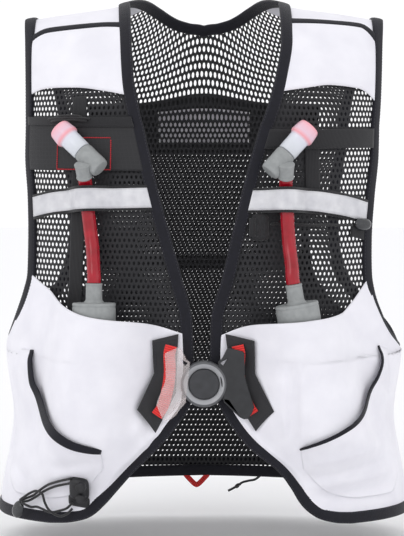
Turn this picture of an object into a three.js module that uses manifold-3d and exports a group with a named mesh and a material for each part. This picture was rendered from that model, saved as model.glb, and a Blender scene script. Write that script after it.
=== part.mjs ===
// Running hydration vest, in millimetres, +Z up, with its front towards -Y.
// The origin lies between the shoulders, at the height of the strap undersides.
// R is the wearer's right side, at -X, and L the left side, at +X.
import * as THREE from "three";
import { mergeVertices } from "three/addons/utils/BufferGeometryUtils.js";
import Module from "manifold-3d";

const wasm = await Module();
wasm.setup();

// Driving sizes of the body of the vest.
const vest = {
  halfWidth: 190,
  frontDepth: 128,
  backDepth: 112,
  squareness: 2.4,
  yokeDrop: 110,
  bodyLength: 385,
  shoulderHeight: 10,
  shoulderFall: 19,
  neckRise: 65,
  neckSpread: 45,
};

// Walls and the clear space between them.
const wall = { mesh: 1.2, fabric: 1.2, webbing: 1.2, plate: 2 };
const gap = 0.3;
const layerGap = 1.6;
const patchGap = 2.8;
const plateGap = 1.8;
const backGap = 2.8;

// Steps between the corners of the bound edges, the armholes, the collar and the back hem.
const edgeStep = 24;
const armholeStep = 20;
const collarStep = 17;
const hemStep = 34;

// The bound edges and the piping.
const binding = { width: 12, inside: 1, thickness: 5.4 };
const piping = { width: 9, inside: 0, thickness: 4 };
const trim = { width: 5, thickness: 2.2 };

// The chest band, its tape and the webbings.
const band = { width: 24, bumpSpan: 26 };
const tape = { width: 19, thickness: 0.8 };
const webbing = { width: 19 };

// The drink units.
const flask = { halfWidth: 32, halfDepth: 16, bulge: 44, span: 64, sides: 14 };
const cap = { radius: 21, height: 21, spoutRadius: 8, spoutHeight: 19, sides: 14 };
const tube = { radius: 6.7, sides: 8, steps: 13, lead: 7 };
const valve = { radius: 10, length: 26, stemRadius: 7.4, stemLength: 15, sides: 12 };
const bite = { baseRadius: 9.8, shoulderRadius: 12.2, tipRadius: 10.5, length: 35 };

// The dial buckle in the middle of the front.
const dial = {
  level: 0.354,
  ringRadius: 22.5,
  buttonRadius: 14.6,
  ringHeight: 9,
  buttonHeight: 11,
  sides: 18,
};
const arm = { thickness: 3, reach: 48, height: 74 };
const redWebbing = { width: 12, thickness: 1.2 };

// The elastic cords and what is on them.
const cord = { radius: 1.25, sides: 8, step: 13 };
const lock = { width: 13, height: 24, depth: 8 };
const pull = { width: 14, height: 17, depth: 5 };
const tab = { width: 18, height: 27, depth: 5 };
const chestPull = { width: 21, height: 12, depth: 5 };
const loop = { width: 25, tip: 6, height: 13, hole: 9, thickness: 2.4, aside: 8 };

// Ring sections from the hem, level 0, to the chest line, level 1, as shares of the sizes.
const RING = {
  level: [0, 0.1, 0.25, 0.43, 0.61, 0.82, 1],
  width: [1.08, 1.045, 0.99, 1.03, 1.0, 0.98, 0.97],
  front: [1.0, 1.0, 0.985, 0.97, 0.955, 0.92, 0.845],
  back: [1.0, 0.965, 0.93, 0.93, 0.945, 0.98, 1.0],
};

// The front edge: its distance from the middle as a share of the ring's half width.
const FRONT_EDGE = {
  level: [
    0, 0.005, 0.02, 0.05, 0.09, 0.135, 0.2, 0.25, 0.31, 0.36,
    0.41, 0.51, 0.61, 0.71, 0.81, 0.91, 1.03, 1.24, 1.5, 2,
  ],
  R: [
    0.74, 0.65, 0.56, 0.5, 0.44, 0.371, 0.252, 0.17, 0.095, 0.085,
    0.082, 0.09, 0.14, 0.198, 0.256, 0.308, 0.36, 0.4, 0.416, 0.435,
  ],
  L: [
    0.7, 0.63, 0.55, 0.49, 0.45, 0.394, 0.25, 0.17, 0.1, 0.065,
    0.06, 0.065, 0.12, 0.168, 0.218, 0.272, 0.343, 0.405, 0.44, 0.435,
  ],
};

// The back neckline, from the middle out to the shoulder ridge.
const NECK = {
  level: [1.35, 1.375, 1.46, 1.62, 1.74, 1.85, 2],
  share: [0, 0.08, 0.175, 0.265, 0.315, 0.36, 0.435],
};

// The armhole edge on the front, right and left, and on the back.
const ARMHOLE = {
  level: [0.41, 0.44, 0.46, 0.5, 0.57, 0.62, 0.71, 0.82, 0.93, 1.18, 1.6, 2],
  R: [1, 0.99, 0.975, 0.948, 0.91, 0.893, 0.897, 0.91, 0.932, 0.933, 0.94, 0.95],
  L: [1, 0.955, 0.928, 0.892, 0.853, 0.843, 0.85, 0.875, 0.906, 0.925, 0.938, 0.95],
  back: [1, 0.975, 0.95, 0.88, 0.775, 0.738, 0.722, 0.735, 0.772, 0.815, 0.9, 0.95],
};
const UNDERARM = 0.41;

// Lines that cross a front panel: their level at shares across it, from front edge to armhole.
const ACROSS = {
  share: [0, 0.25, 0.5, 0.75, 1],
  pipingR: [1.6, 1.64, 1.65, 1.655, 1.58],
  pipingL: [1.65, 1.685, 1.705, 1.72, 1.56],
  yokeR: [1.15, 1.185, 1.21, 1.215, 1.18],
  yokeL: [1.17, 1.2, 1.225, 1.215, 1.13],
  pocketR: [0.475, 0.505, 0.522, 0.565, 0.62],
  pocketL: [0.47, 0.503, 0.513, 0.525, 0.61],
  bandR: [0.819, 0.817, 0.814, 0.806, 0.787],
  bandL: [0.812, 0.812, 0.81, 0.798, 0.774],
  chestR: [1.02, 1.02, 1.02, 1.025, 1.025],
  chestL: [0.965, 0.965, 0.965, 0.966, 0.966],
};
const CHEST_PANEL_FOOT = 0.885;

// Mouth of each outer pocket, from the side down to the front, and the patch's far edge.
const MOUTH = {
  along: [0, 0.12, 0.24, 0.36, 0.52, 0.7, 0.84, 1],
  shareR: [0.847, 0.845, 0.84, 0.81, 0.746, 0.655, 0.57, 0.475],
  levelR: [0.425, 0.375, 0.345, 0.315, 0.271, 0.222, 0.194, 0.181],
  shareL: [0.858, 0.86, 0.85, 0.815, 0.72, 0.62, 0.53, 0.455],
  levelL: [0.435, 0.39, 0.365, 0.332, 0.283, 0.242, 0.208, 0.187],
};
const PATCH_FOOT = {
  along: [0, 0.2, 0.42, 0.55, 0.7, 0.85, 1],
  share: [0.9, 0.95, 0.96, 0.9, 0.75, 0.6, 0.475],
  level: [0.425, 0.28, 0.12, 0.05, 0.05, 0.07, 0.135],
};

// The soft flask: half width, half depth and distance off the panel, as shares up its height.
const FLASK = {
  up: [0, 0.03, 0.1, 0.25, 0.5, 0.8, 0.93, 1],
  width: [0.3, 0.5, 0.78, 1, 1, 0.97, 0.8, 0.56],
  depth: [0.1, 0.2, 0.45, 0.85, 1, 1, 1, 1],
  off: [0.12, 0.19, 0.42, 0.72, 0.84, 0.92, 0.97, 1],
};
const FLASK_AXIS = {
  level: [0.11, 0.497],
  R: [0.585, 0.513],
  L: [0.66, 0.45],
};
const POCKET_FILL = { from: 0.055, to: 0.235 };
const WAIST_SLACK = { rise: 2.6, level: 0.33, spread: 0.16 };

// Where the spout ends, and the red tube's route up to the valve: place, level and lift,
// which is 0 where the tube lies on the panel and 1 on the flask's axis.
const SPOUT_TOP = { level: 0.605, R: 0.522, L: 0.426 };
const TUBE = {
  level: [0.607, 0.64, 0.69, 0.745, 0.785, 0.83, 0.852, 0.866],
  R: [0.522, 0.529, 0.549, 0.571, 0.583, 0.592, 0.593, 0.591],
  L: [0.426, 0.424, 0.423, 0.42, 0.418, 0.415, 0.411, 0.408],
  lift: [1, 0.88, 0.4, 0.2, 0.17, 0.17, 0.36, 0.6],
};
const VALVE = {
  R: { base: [0.514, 0.886], tip: [0.741, 0.997] },
  L: { base: [0.325, 0.877], tip: [0.533, 0.993] },
};

// Buckle plates: corners as [share of the half width, level].
const PLATE = {
  R: [[0.125, 0.478], [0.25, 0.462], [0.244, 0.379], [0.325, 0.29], [0.245, 0.228], [0.14, 0.33]],
  L: [[0.105, 0.478], [0.24, 0.462], [0.247, 0.379], [0.34, 0.285], [0.262, 0.232], [0.14, 0.33]],
};

// Each arm's outline, as [share of its reach, share of half its height], from the dial's middle.
// The red webbing's middle line runs down behind it by the same shares.
const ARM_OUTLINE = {
  R: [
    [0.28, 0.58], [0.35, 0.65], [0.4, 0.78], [0.45, 0.91], [0.52, 0.97], [0.78, 0.82], [0.79, 0.73],
    [0.77, 0.41], [0.77, 0.15], [0.8, 0.02], [0.95, -0.46], [0.95, -0.54], [0.84, -0.92], [0.78, -0.96],
    [0.66, -0.91], [0.56, -0.81], [0.48, -0.65], [0.36, -0.48],
  ],
  L: [
    [0.28, 0.58], [0.36, 0.68], [0.45, 0.91], [0.51, 0.95], [0.77, 0.86], [0.81, 0.82], [0.82, 0.19],
    [0.89, -0.11], [1.01, -0.59], [0.97, -0.76], [0.89, -0.9], [0.8, -0.92], [0.72, -0.87],
    [0.61, -0.74], [0.4, -0.48],
  ],
};
const RED_LINE = [[0.67, 1.01], [0.7, 0.8], [0.7, 0.32], [0.74, -0.11], [0.86, -0.59], [0.97, -0.81]];

// A small block's sections up its height, the width of each, and its narrower face.
const BLOCK = { up: [-0.5, -0.32, 0.32, 0.5], width: [0.62, 1, 1, 0.62], face: 0.8 };

// Where the fittings sit, as share of the half width and level.
const LOCK = { share: 0.572, level: 0.082, turn: 0.15 };
const PULL = { share: 0.852, level: 0.012, turn: 0.5 };
const CHEST_TAB = { share: 0.29, level: 0.745 };
const CHEST_PULL = { share: 0.81, level: 0.747 };

// The elastic cords' routes, point by point, in millimetres.
const LOCK_CORD_OUTER = [
  [-129, -129, -452], [-141, -119.5, -456], [-153, -108.5, -461.5], [-161, -102, -467.5],
  [-168, -97.5, -473.5], [-176, -93.3, -477.5], [-181.7, -92.3, -479.3], [-176, -97, -474.5],
  [-172, -99, -471.5], [-165, -103, -468.5], [-159, -107.5, -470.5], [-156, -110, -479], [-151, -113, -486.5],
  [-141, -117, -491], [-134, -119.5, -488.5], [-128.5, -121, -483],
];
const LOCK_CORD_INNER = [
  [-129, -125.5, -457], [-146, -113, -462.5], [-158, -104, -469], [-165, -99.5, -474.5],
  [-173.5, -95.8, -479.5], [-179.6, -94.6, -481], [-174.5, -98.5, -483.5], [-170, -99.5, -485],
  [-165, -101, -484.5], [-159, -104.5, -486], [-151, -109.5, -488.5], [-141, -114.5, -486],
  [-134, -118, -483],
  [-128.5, -120, -477.5],
];
const CHEST_CORD = [
  [65, -121.5, -205], [71, -117.5, -205], [80, -115.5, -205.5], [91, -113, -206],
  [105, -110.6, -206.5], [121, -106, -206.5], [134, -102, -207], [145, -98.5, -207],
];
const HEM_CORD = [
  [62, 114.4, -486.5], [55, 114.8, -492], [48, 114.9, -493.5], [41, 115.2, -495.5],
  [36, 115.5, -499], [31, 115.6, -502], [26, 115.8, -504.5],
];

// Level of the chest line and the hem line below the origin.
const chestZ = -vest.yokeDrop;
const hemZ = chestZ - vest.bodyLength;
const sides = { R: -1, L: 1 };

// A smooth curve through a table's points that never swings past them.
function curve(xs, ys, x) {
  const last = xs.length - 1;
  if (x <= xs[0]) return ys[0];
  if (x >= xs[last]) return ys[last];
  let i = 0;
  while (xs[i + 1] <= x) i += 1;
  const rise = (k) => (ys[k + 1] - ys[k]) / (xs[k + 1] - xs[k]);
  const slope = (k) => {
    if (k === 0) return rise(0);
    if (k === last) return rise(last - 1);
    const before = rise(k - 1);
    const after = rise(k);
    return before * after <= 0 ? 0 : (2 * before * after) / (before + after);
  };
  const step = xs[i + 1] - xs[i];
  const t = (x - xs[i]) / step;
  const from = (2 * t ** 3 - 3 * t ** 2 + 1) * ys[i] + (t ** 3 - 2 * t ** 2 + t) * step * slope(i);
  const to = (3 * t ** 2 - 2 * t ** 3) * ys[i + 1] + (t ** 3 - t ** 2) * step * slope(i + 1);
  return from + to;
}

const mix = THREE.MathUtils.lerp;

// Half width and depth of the torso at a travel: 0 hem, 1 chest, 2 ridge, then down the back to 4.
function ringAt(travel) {
  const level = travel > 2 ? 4 - travel : travel;
  const half = vest.halfWidth * curve(RING.level, RING.width, level);
  const front = vest.frontDepth * curve(RING.level, RING.front, level);
  const back = vest.backDepth * curve(RING.level, RING.back, level);
  const own = travel > 2 ? back : front;
  const depth = mix(own, (front + back) / 2, Math.max(0, level - 1));
  return { level, half, depth };
}

function ridgeHeight(x) {
  const fall = vest.shoulderFall * (x / vest.halfWidth) ** 2;
  return vest.shoulderHeight - fall + vest.neckRise * Math.exp(-((x / vest.neckSpread) ** 2));
}

// The torso surface: a superellipse ring that leans in over the shoulders above the chest.
function skin(angle, travel) {
  const { level, half, depth } = ringAt(travel);
  const n = vest.squareness;
  const across = Math.abs(Math.sin(angle) / half) ** n;
  const along = Math.abs(Math.cos(angle) / depth) ** n;
  const reach = (across + along) ** (-1 / n);
  const x = reach * Math.sin(angle);
  const lean = (Math.max(0, level - 1) * Math.PI) / 2;
  const y = Math.sign(travel - 2 || 1) * reach * Math.cos(angle) * Math.cos(lean);
  const z = level > 1 ? chestZ + (ridgeHeight(x) - chestZ) * Math.sin(lean) : hemZ + level * vest.bodyLength;
  return new THREE.Vector3(x, y, z);
}

function outward(angle, travel) {
  const step = 1e-3;
  const round = skin(angle + step, travel).sub(skin(angle - step, travel));
  const up = skin(angle, travel + step).sub(skin(angle, travel - step));
  return round.cross(up).normalize();
}

function place(angle, travel, off) {
  return skin(angle, travel).addScaledVector(outward(angle, travel), off);
}

// Angle from the middle line at a signed share of the half width.
function angleAt(share, travel) {
  const { half, depth } = ringAt(travel);
  const n = vest.squareness;
  const away = Math.max(0, 1 - Math.abs(share) ** n) ** (1 / n);
  return Math.atan2(share * half, depth * away);
}

const seamAngle = Math.PI / 2 - gap / 2 / vest.halfWidth;

function innerAngle(side, travel) {
  const share = travel > 2
    ? curve(NECK.level, NECK.share, 4 - travel)
    : curve(FRONT_EDGE.level, FRONT_EDGE[side], travel);
  return sides[side] * angleAt(share, travel);
}

function outerAngle(side, travel) {
  const column = travel > 2 ? ARMHOLE.back : ARMHOLE[side];
  const share = curve(ARMHOLE.level, column, travel > 2 ? 4 - travel : travel);
  return sides[side] * Math.min(seamAngle, angleAt(share, travel));
}

// A spot on a front panel: share across from the front edge to the armhole or side.
function panelSpot(side, share, travel) {
  return [mix(innerAngle(side, travel), outerAngle(side, travel), share), travel];
}

const lineLevel = (name, share) => curve(ACROSS.share, ACROSS[name], share);
const fade = (x, from, to) => THREE.MathUtils.smoothstep(x, from, to);

// Solids out of vertices and triangles.
function geometryOf(points, triangles) {
  const made = new THREE.BufferGeometry().setFromPoints(points);
  made.setIndex(triangles);
  return made;
}

function solidOf(geometry) {
  const bare = geometry.clone();
  bare.deleteAttribute("normal");
  bare.deleteAttribute("uv");
  const merged = mergeVertices(bare, 1e-3);
  return new wasm.Manifold(
    new wasm.Mesh({
      numProp: 3,
      vertProperties: merged.attributes.position.array,
      triVerts: new Uint32Array(merged.index.array),
    }),
  );
}

function meshOf(solid) {
  const { vertProperties, triVerts } = solid.getMesh();
  const made = new THREE.BufferGeometry();
  made.setAttribute("position", new THREE.BufferAttribute(vertProperties, 3));
  made.setIndex(new THREE.BufferAttribute(triVerts, 1));
  return made;
}

const without = (geometry, ...cutters) =>
  meshOf(cutters.reduce((left, cutter) => left.subtract(cutter), solidOf(geometry)));

// A closed cloth sheet: spot(a, b) gives its place on the torso, low and high its two faces.
function sheet(spot, columns, rows, low, high) {
  const off = (value, angle, travel) => (typeof value === "function" ? value(angle, travel) : value);
  const points = [];
  for (const face of [high, low]) {
    for (let j = 0; j <= rows; j += 1) {
      for (let i = 0; i <= columns; i += 1) {
        const [angle, travel] = spot(i / columns, j / rows);
        points.push(place(angle, travel, off(face, angle, travel)));
      }
    }
  }
  const wide = columns + 1;
  const back = wide * (rows + 1);
  const triangles = [];
  const quad = (a, b, c, d) => triangles.push(a, b, c, a, c, d);
  for (let j = 0; j < rows; j += 1) {
    for (let i = 0; i < columns; i += 1) {
      const at = j * wide + i;
      quad(at, at + 1, at + 1 + wide, at + wide);
      quad(back + at, back + at + wide, back + at + 1 + wide, back + at + 1);
    }
  }
  for (let i = 0; i < columns; i += 1) {
    const end = rows * wide + i;
    quad(i, back + i, back + i + 1, i + 1);
    quad(end, end + 1, back + end + 1, back + end);
  }
  for (let j = 0; j < rows; j += 1) {
    const left = j * wide;
    const right = left + columns;
    quad(left, left + wide, back + left + wide, back + left);
    quad(right, back + right, back + right + wide, right + wide);
  }
  return facingOut(geometryOf(points, triangles));
}

// Turns a shell's faces round where its grid ran the other way.
function facingOut(geometry) {
  const at = geometry.attributes.position;
  const index = geometry.index.array;
  const [a, b, c] = [0, 1, 2].map(() => new THREE.Vector3());
  let volume = 0;
  for (let i = 0; i < index.length; i += 3) {
    a.fromBufferAttribute(at, index[i]);
    b.fromBufferAttribute(at, index[i + 1]);
    c.fromBufferAttribute(at, index[i + 2]);
    volume += a.dot(b.cross(c));
  }
  if (volume < 0) index.reverse();
  return geometry;
}

// A closed solid carried along frames: section(i) lists its corners as [side, out] pairs.
function loft(frames, section, closed = false) {
  const corners = section(0).length;
  const points = frames.flatMap((frame, i) =>
    section(i).map(([u, v]) =>
      frame.at.clone().addScaledVector(frame.side, u).addScaledVector(frame.out, v),
    ),
  );
  const triangles = [];
  const spans = closed ? frames.length : frames.length - 1;
  for (let i = 0; i < spans; i += 1) {
    const here = i * corners;
    const next = ((i + 1) % frames.length) * corners;
    for (let k = 0; k < corners; k += 1) {
      const turn = (k + 1) % corners;
      triangles.push(here + k, here + turn, next + turn, here + k, next + turn, next + k);
    }
  }
  if (!closed) {
    const end = (frames.length - 1) * corners;
    for (let k = 1; k < corners - 1; k += 1) {
      triangles.push(0, k + 1, k, end, end + k, end + k + 1);
    }
  }
  return facingOut(geometryOf(points, triangles));
}

// Points spread evenly along a finely drawn path of spots. Where the path crosses the side seam
// its travel jumps from the front to the back, so there the nearer spot is taken.
function evenly(spots, step, closed = false) {
  const fine = closed ? [...spots, spots[0]] : spots;
  const at = fine.map(([angle, travel]) => skin(angle, travel));
  const run = [0];
  for (let i = 1; i < at.length; i += 1) run.push(run[i - 1] + at[i].distanceTo(at[i - 1]));
  const count = Math.max(2, Math.round(run[run.length - 1] / step));
  const even = [];
  let i = 0;
  for (let k = 0; k <= count - (closed ? 1 : 0); k += 1) {
    const want = (run[run.length - 1] * k) / count;
    while (i < run.length - 2 && run[i + 1] < want) i += 1;
    const t = (want - run[i]) / (run[i + 1] - run[i]);
    const [from, to] = [fine[i], fine[i + 1]];
    const overSeam = Math.abs(to[1] - from[1]) > 1;
    const nearer = t < 0.5 ? from : to;
    even.push(overSeam ? nearer : [mix(from[0], to[0], t), mix(from[1], to[1], t)]);
  }
  return even;
}

// Frames along a path: where it is, its side direction in the cloth and its outward direction.
function framesAlong(spots, off, closed = false) {
  const at = spots.map(([angle, travel]) => place(angle, travel, off(angle, travel)));
  const count = spots.length;
  return spots.map(([angle, travel], i) => {
    const before = at[closed ? (i + count - 1) % count : Math.max(0, i - 1)];
    const after = at[closed ? (i + 1) % count : Math.min(count - 1, i + 1)];
    const along = after.clone().sub(before).normalize();
    const out = outward(angle, travel);
    const side = along.clone().cross(out).normalize();
    return { at: at[i], along, side, out: side.clone().cross(along).normalize() };
  });
}

// Moves the ends of a run of frames in by an amount, or out where it is negative.
function trimEnds(frames, amount) {
  return frames.map((frame, i) => {
    const push = i === 0 ? amount : i === frames.length - 1 ? -amount : 0;
    return { ...frame, at: frame.at.clone().addScaledVector(frame.along, push) };
  });
}

const flat = (width, low, high) => () => [
  [-width / 2, low],
  [width / 2, low],
  [width / 2, high],
  [-width / 2, high],
];

const onSkin = () => 0;
const cutDepth = 9;

// Clears the room of a strip and a gap beside it, with walls that turn as the strip's walls do.
function cutter(frames, width, low, high, closed) {
  const half = width / 2 + gap;
  const right = [-cutDepth, low, high, cutDepth].map((v) => [half, v]);
  const left = [cutDepth, high, low, -cutDepth].map((v) => [-half, v]);
  return solidOf(loft(frames, () => [...right, ...left], closed));
}

// Fine runs of spots between two travels, on one side's edge.
function edgeRun(angleOf, side, from, to, count = 160) {
  return Array.from({ length: count + 1 }, (_, k) => {
    const travel = mix(from, to, k / count);
    return [angleOf(side, travel), travel];
  });
}

// The materials, one for each slot.
const MATERIALS = {
  mesh_black: { color: 0x1b1b22, roughness: 0.85 },
  fabric_white: { color: 0xf4f3f8, roughness: 0.7 },
  binding_navy: { color: 0x1e1e2b, roughness: 0.8 },
  webbing_black: { color: 0x18181d, roughness: 0.8 },
  ripstop_black: { color: 0x232329, roughness: 0.7 },
  tape_silver: { color: 0xcfcfd3, roughness: 0.4 },
  patch_light: { color: 0xd9d6dc, roughness: 0.7 },
  flask_clear: { color: 0xd8dcdf, roughness: 0.3 },
  cap_grey: { color: 0x8d9090, roughness: 0.55 },
  tube_red: { color: 0xb81528, roughness: 0.35 },
  bite_pink: { color: 0xf0b9bb, roughness: 0.4 },
  plastic_black: { color: 0x1a1a1e, roughness: 0.5 },
  plastic_clear: { color: 0xb9b7b8, roughness: 0.3 },
  plastic_dark: { color: 0x3c3d42, roughness: 0.4 },
  webbing_red: { color: 0xe02020, roughness: 0.75 },
  cord_black: { color: 0x16161a, roughness: 0.8 },
};

const group = new THREE.Group();

function add(name, geometry, slot) {
  const material = new THREE.MeshStandardMaterial({ ...MATERIALS[slot], name: slot });
  const mesh = new THREE.Mesh(geometry, material);
  mesh.name = name;
  group.add(mesh);
  return mesh;
}

// The bound edge: hem, front edge, collar, front edge and back hem, in one closed run.
const BACK_HEM = { share: [0, 0.5, 1], level: [0.036, 0.03, 0.002] };

function backHemLevel(angle) {
  return curve(BACK_HEM.share, BACK_HEM.level, Math.abs(angle) / (Math.PI / 2));
}

function backHemRun() {
  return Array.from({ length: 121 }, (_, k) => {
    const angle = mix(Math.PI / 2, -Math.PI / 2, k / 120);
    return [angle, 4 - backHemLevel(angle)];
  });
}

// The front edge bends sharply below this level, and the collar starts just past the ridge.
const hemBend = 0.1;
const pastRidge = 2.0001;

function frontRun(side) {
  const hem = Array.from({ length: 31 }, (_, k) => [
    mix((sides[side] * Math.PI) / 2, innerAngle(side, 0), k / 30),
    0,
  ]);
  const foot = edgeRun(innerAngle, side, 0, hemBend, 120);
  return [...hem, ...foot.slice(1), ...edgeRun(innerAngle, side, hemBend, 2).slice(1)];
}

const collarRun = [
  ...edgeRun(innerAngle, "R", pastRidge, 4 - NECK.level[0], 120),
  ...edgeRun(innerAngle, "L", 4 - NECK.level[0], pastRidge, 120).slice(1),
];

const edgeParts = {
  front_binding_R: evenly(frontRun("R"), edgeStep),
  collar_binding: evenly(collarRun, collarStep),
  front_binding_L: evenly(frontRun("L"), edgeStep).reverse(),
  hem_binding: evenly(backHemRun(), hemStep),
};
const edgeLoop = Object.values(edgeParts).flatMap((run) => run.slice(0, -1));
const edgeFrames = framesAlong(edgeLoop, onSkin, true);
const bindingLow = -binding.inside;
const bindingHigh = binding.thickness - binding.inside;
const bindingSection = flat(binding.width, bindingLow, bindingHigh);
const edgeCutter = cutter(edgeFrames, binding.width, bindingLow, bindingHigh, true);

function bindings() {
  let start = 0;
  for (const [name, run] of Object.entries(edgeParts)) {
    const frames = run.map((_, i) => edgeFrames[(start + i) % edgeFrames.length]);
    start += run.length - 1;
    add(name, loft(trimEnds(frames, gap / 2), bindingSection), "binding_navy");
  }
}

// The armhole edge: down the front, under the arm and up the back. Its spots crowd under the arm.
const crowding = 2.4;

function armholeRun(side) {
  const count = 200;
  const levelAt = (share) => UNDERARM + (2 - UNDERARM) * share ** crowding;
  const down = Array.from({ length: count + 1 }, (_, k) => {
    const travel = levelAt(1 - k / count);
    return [outerAngle(side, travel), travel];
  });
  const up = Array.from({ length: count }, (_, k) => {
    const travel = 4 - levelAt((k + 0.5) / count);
    return [outerAngle(side, travel), travel];
  });
  return [...down, ...up];
}

const armholeFrames = {};
const armholeCutter = {};
for (const side of Object.keys(sides)) {
  armholeFrames[side] = framesAlong(evenly(armholeRun(side), armholeStep, true), onSkin, true);
  armholeCutter[side] = cutter(armholeFrames[side], binding.width, bindingLow, bindingHigh, true);
}

function armholes() {
  for (const side of Object.keys(sides)) {
    add("armhole_binding_" + side, loft(armholeFrames[side], bindingSection, true), "binding_navy");
  }
}

// Shoulder piping, across each front panel.
const pipingFrames = {};
const pipingCutter = {};
for (const side of Object.keys(sides)) {
  const run = Array.from({ length: 13 }, (_, k) =>
    panelSpot(side, k / 12, lineLevel("piping" + side, k / 12)),
  );
  const frames = framesAlong(run, onSkin);
  pipingFrames[side] = frames;
  const longer = trimEnds(frames, -binding.width / 2);
  pipingCutter[side] = cutter(longer, piping.width, -piping.inside, piping.thickness, false);
}

// The heights of the layers off the torso.
const second = wall.mesh + layerGap;
const third = second + wall.fabric + layerGap;

// How far the flask pushes the lower pocket out.
function flaskAngle(side, level) {
  const share = mix(
    FLASK_AXIS[side][0],
    FLASK_AXIS[side][1],
    (level - FLASK_AXIS.level[0]) / (FLASK_AXIS.level[1] - FLASK_AXIS.level[0]),
  );
  return angleAt(sides[side] * share, level);
}

function pocketOff(side) {
  return (angle, level) => {
    const away = skin(angle, level).distanceTo(skin(flaskAngle(side, level), level)) / flask.span;
    const swell = Math.max(0, 1 - away ** 2) ** 2 * fade(level, POCKET_FILL.from, POCKET_FILL.to);
    const slack = Math.exp(-(((level - WAIST_SLACK.level) / WAIST_SLACK.spread) ** 2));
    return second + WAIST_SLACK.rise * slack + flask.bulge * swell;
  };
}

const raised = (off, by) => (angle, travel) => off(angle, travel) + by;

// Travel left free between a shoulder panel and the back panel that it is sewn to.
const shoulderSeam = 0.004;

function bodyPanels() {
  const top = 4 - NECK.level[4];
  const backTop = (angle) => {
    const share = Math.abs(skin(angle, top).x) / ringAt(top).half;
    return Math.max(top, 4 - curve(NECK.share, NECK.level, share));
  };
  const backSpot = (a, b) => {
    const from = outerAngle("R", top);
    const to = outerAngle("L", top);
    const high = backTop(mix(from, to, a));
    const low = 4 - backHemLevel(mix(-Math.PI / 2, Math.PI / 2, a));
    const travel = mix(low, high, b);
    return [mix(outerAngle("R", travel), outerAngle("L", travel), a), travel];
  };
  const back = sheet(backSpot, 12, 14, 0, wall.mesh);
  const cutters = [edgeCutter, armholeCutter.R, armholeCutter.L];
  add("back_panel", without(back, ...cutters), "mesh_black");

  for (const side of Object.keys(sides)) {
    const own = [edgeCutter, armholeCutter[side], pipingCutter[side]];
    const panel = (a, b) => panelSpot(side, a, b * lineLevel("piping" + side, a));
    add("front_panel_" + side, without(sheet(panel, 5, 17, 0, wall.mesh), ...own), "mesh_black");

    const yoke = (a, b) =>
      panelSpot(side, a, mix(lineLevel("yoke" + side, a), lineLevel("piping" + side, a), b));
    const yokeSheet = sheet(yoke, 5, 3, second, second + wall.fabric);
    add("yoke_" + side, without(yokeSheet, ...own), "fabric_white");

    const seam = top - shoulderSeam;
    const shoulder = (a, b) => panelSpot(side, a, mix(lineLevel("piping" + side, a), seam, b));
    const shoulderSheet = sheet(shoulder, 4, 6, 0, wall.fabric);
    add("shoulder_" + side, without(shoulderSheet, ...own), "fabric_white");

    const strip = loft(pipingFrames[side], flat(piping.width, -piping.inside, piping.thickness));
    add("shoulder_piping_" + side, without(strip, edgeCutter, armholeCutter[side]), "binding_navy");
  }
}

// The second mesh layer on the back, with its bands and a plain patch.
const BACK_POCKET = { inset: 0.82, foot: 0.06, seam: 0.912, bandFoot: 0.914, top: 1.11 };
const LOW_BAND = { low: 0.599, high: 0.637 };
const BACK_PATCH = { halfShare: 0.26, low: 0.945, high: 1.055, inset: 0.03 };

function backPocket() {
  const { inset, foot, seam, bandFoot, top } = BACK_POCKET;
  const spot = (low, high) => (a, b) => {
    const travel = 4 - mix(low, high, b);
    return [mix(outerAngle("R", travel), outerAngle("L", travel), a) * inset, travel];
  };
  const cutters = [edgeCutter, armholeCutter.R, armholeCutter.L];
  const pocketFace = wall.mesh + backGap;
  const body = sheet(spot(foot, seam), 13, 7, pocketFace, pocketFace + wall.mesh);
  add("back_pocket", without(body, ...cutters), "mesh_black");
  const frame = sheet(spot(bandFoot, top), 12, 2, second, second + wall.fabric);
  const hole = (a, b) => {
    const travel = 4 - mix(BACK_PATCH.low, BACK_PATCH.high, b);
    const reach = angleAt(BACK_PATCH.halfShare, travel);
    return [mix(-reach, reach, a), travel];
  };
  const window = solidOf(sheet(hole, 4, 1, -cutDepth, cutDepth));
  add("pocket_top_band", without(frame, ...cutters, window), "webbing_black");
  const shrink = 1 - (2 * gap) / (BACK_PATCH.halfShare * vest.halfWidth);
  const inner = (a, b) => hole(0.5 + (a - 0.5) * shrink, 0.5 + (b - 0.5) * (1 - BACK_PATCH.inset));
  add("back_patch", sheet(inner, 4, 1, second, second + wall.fabric), "patch_light");
  const bandFace = pocketFace + wall.mesh + 3 * gap;
  const lowBand = sheet(spot(LOW_BAND.low, LOW_BAND.high), 13, 1, bandFace, bandFace + wall.webbing);
  add("pocket_low_band", without(lowBand, ...cutters), "webbing_black");
}

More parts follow.
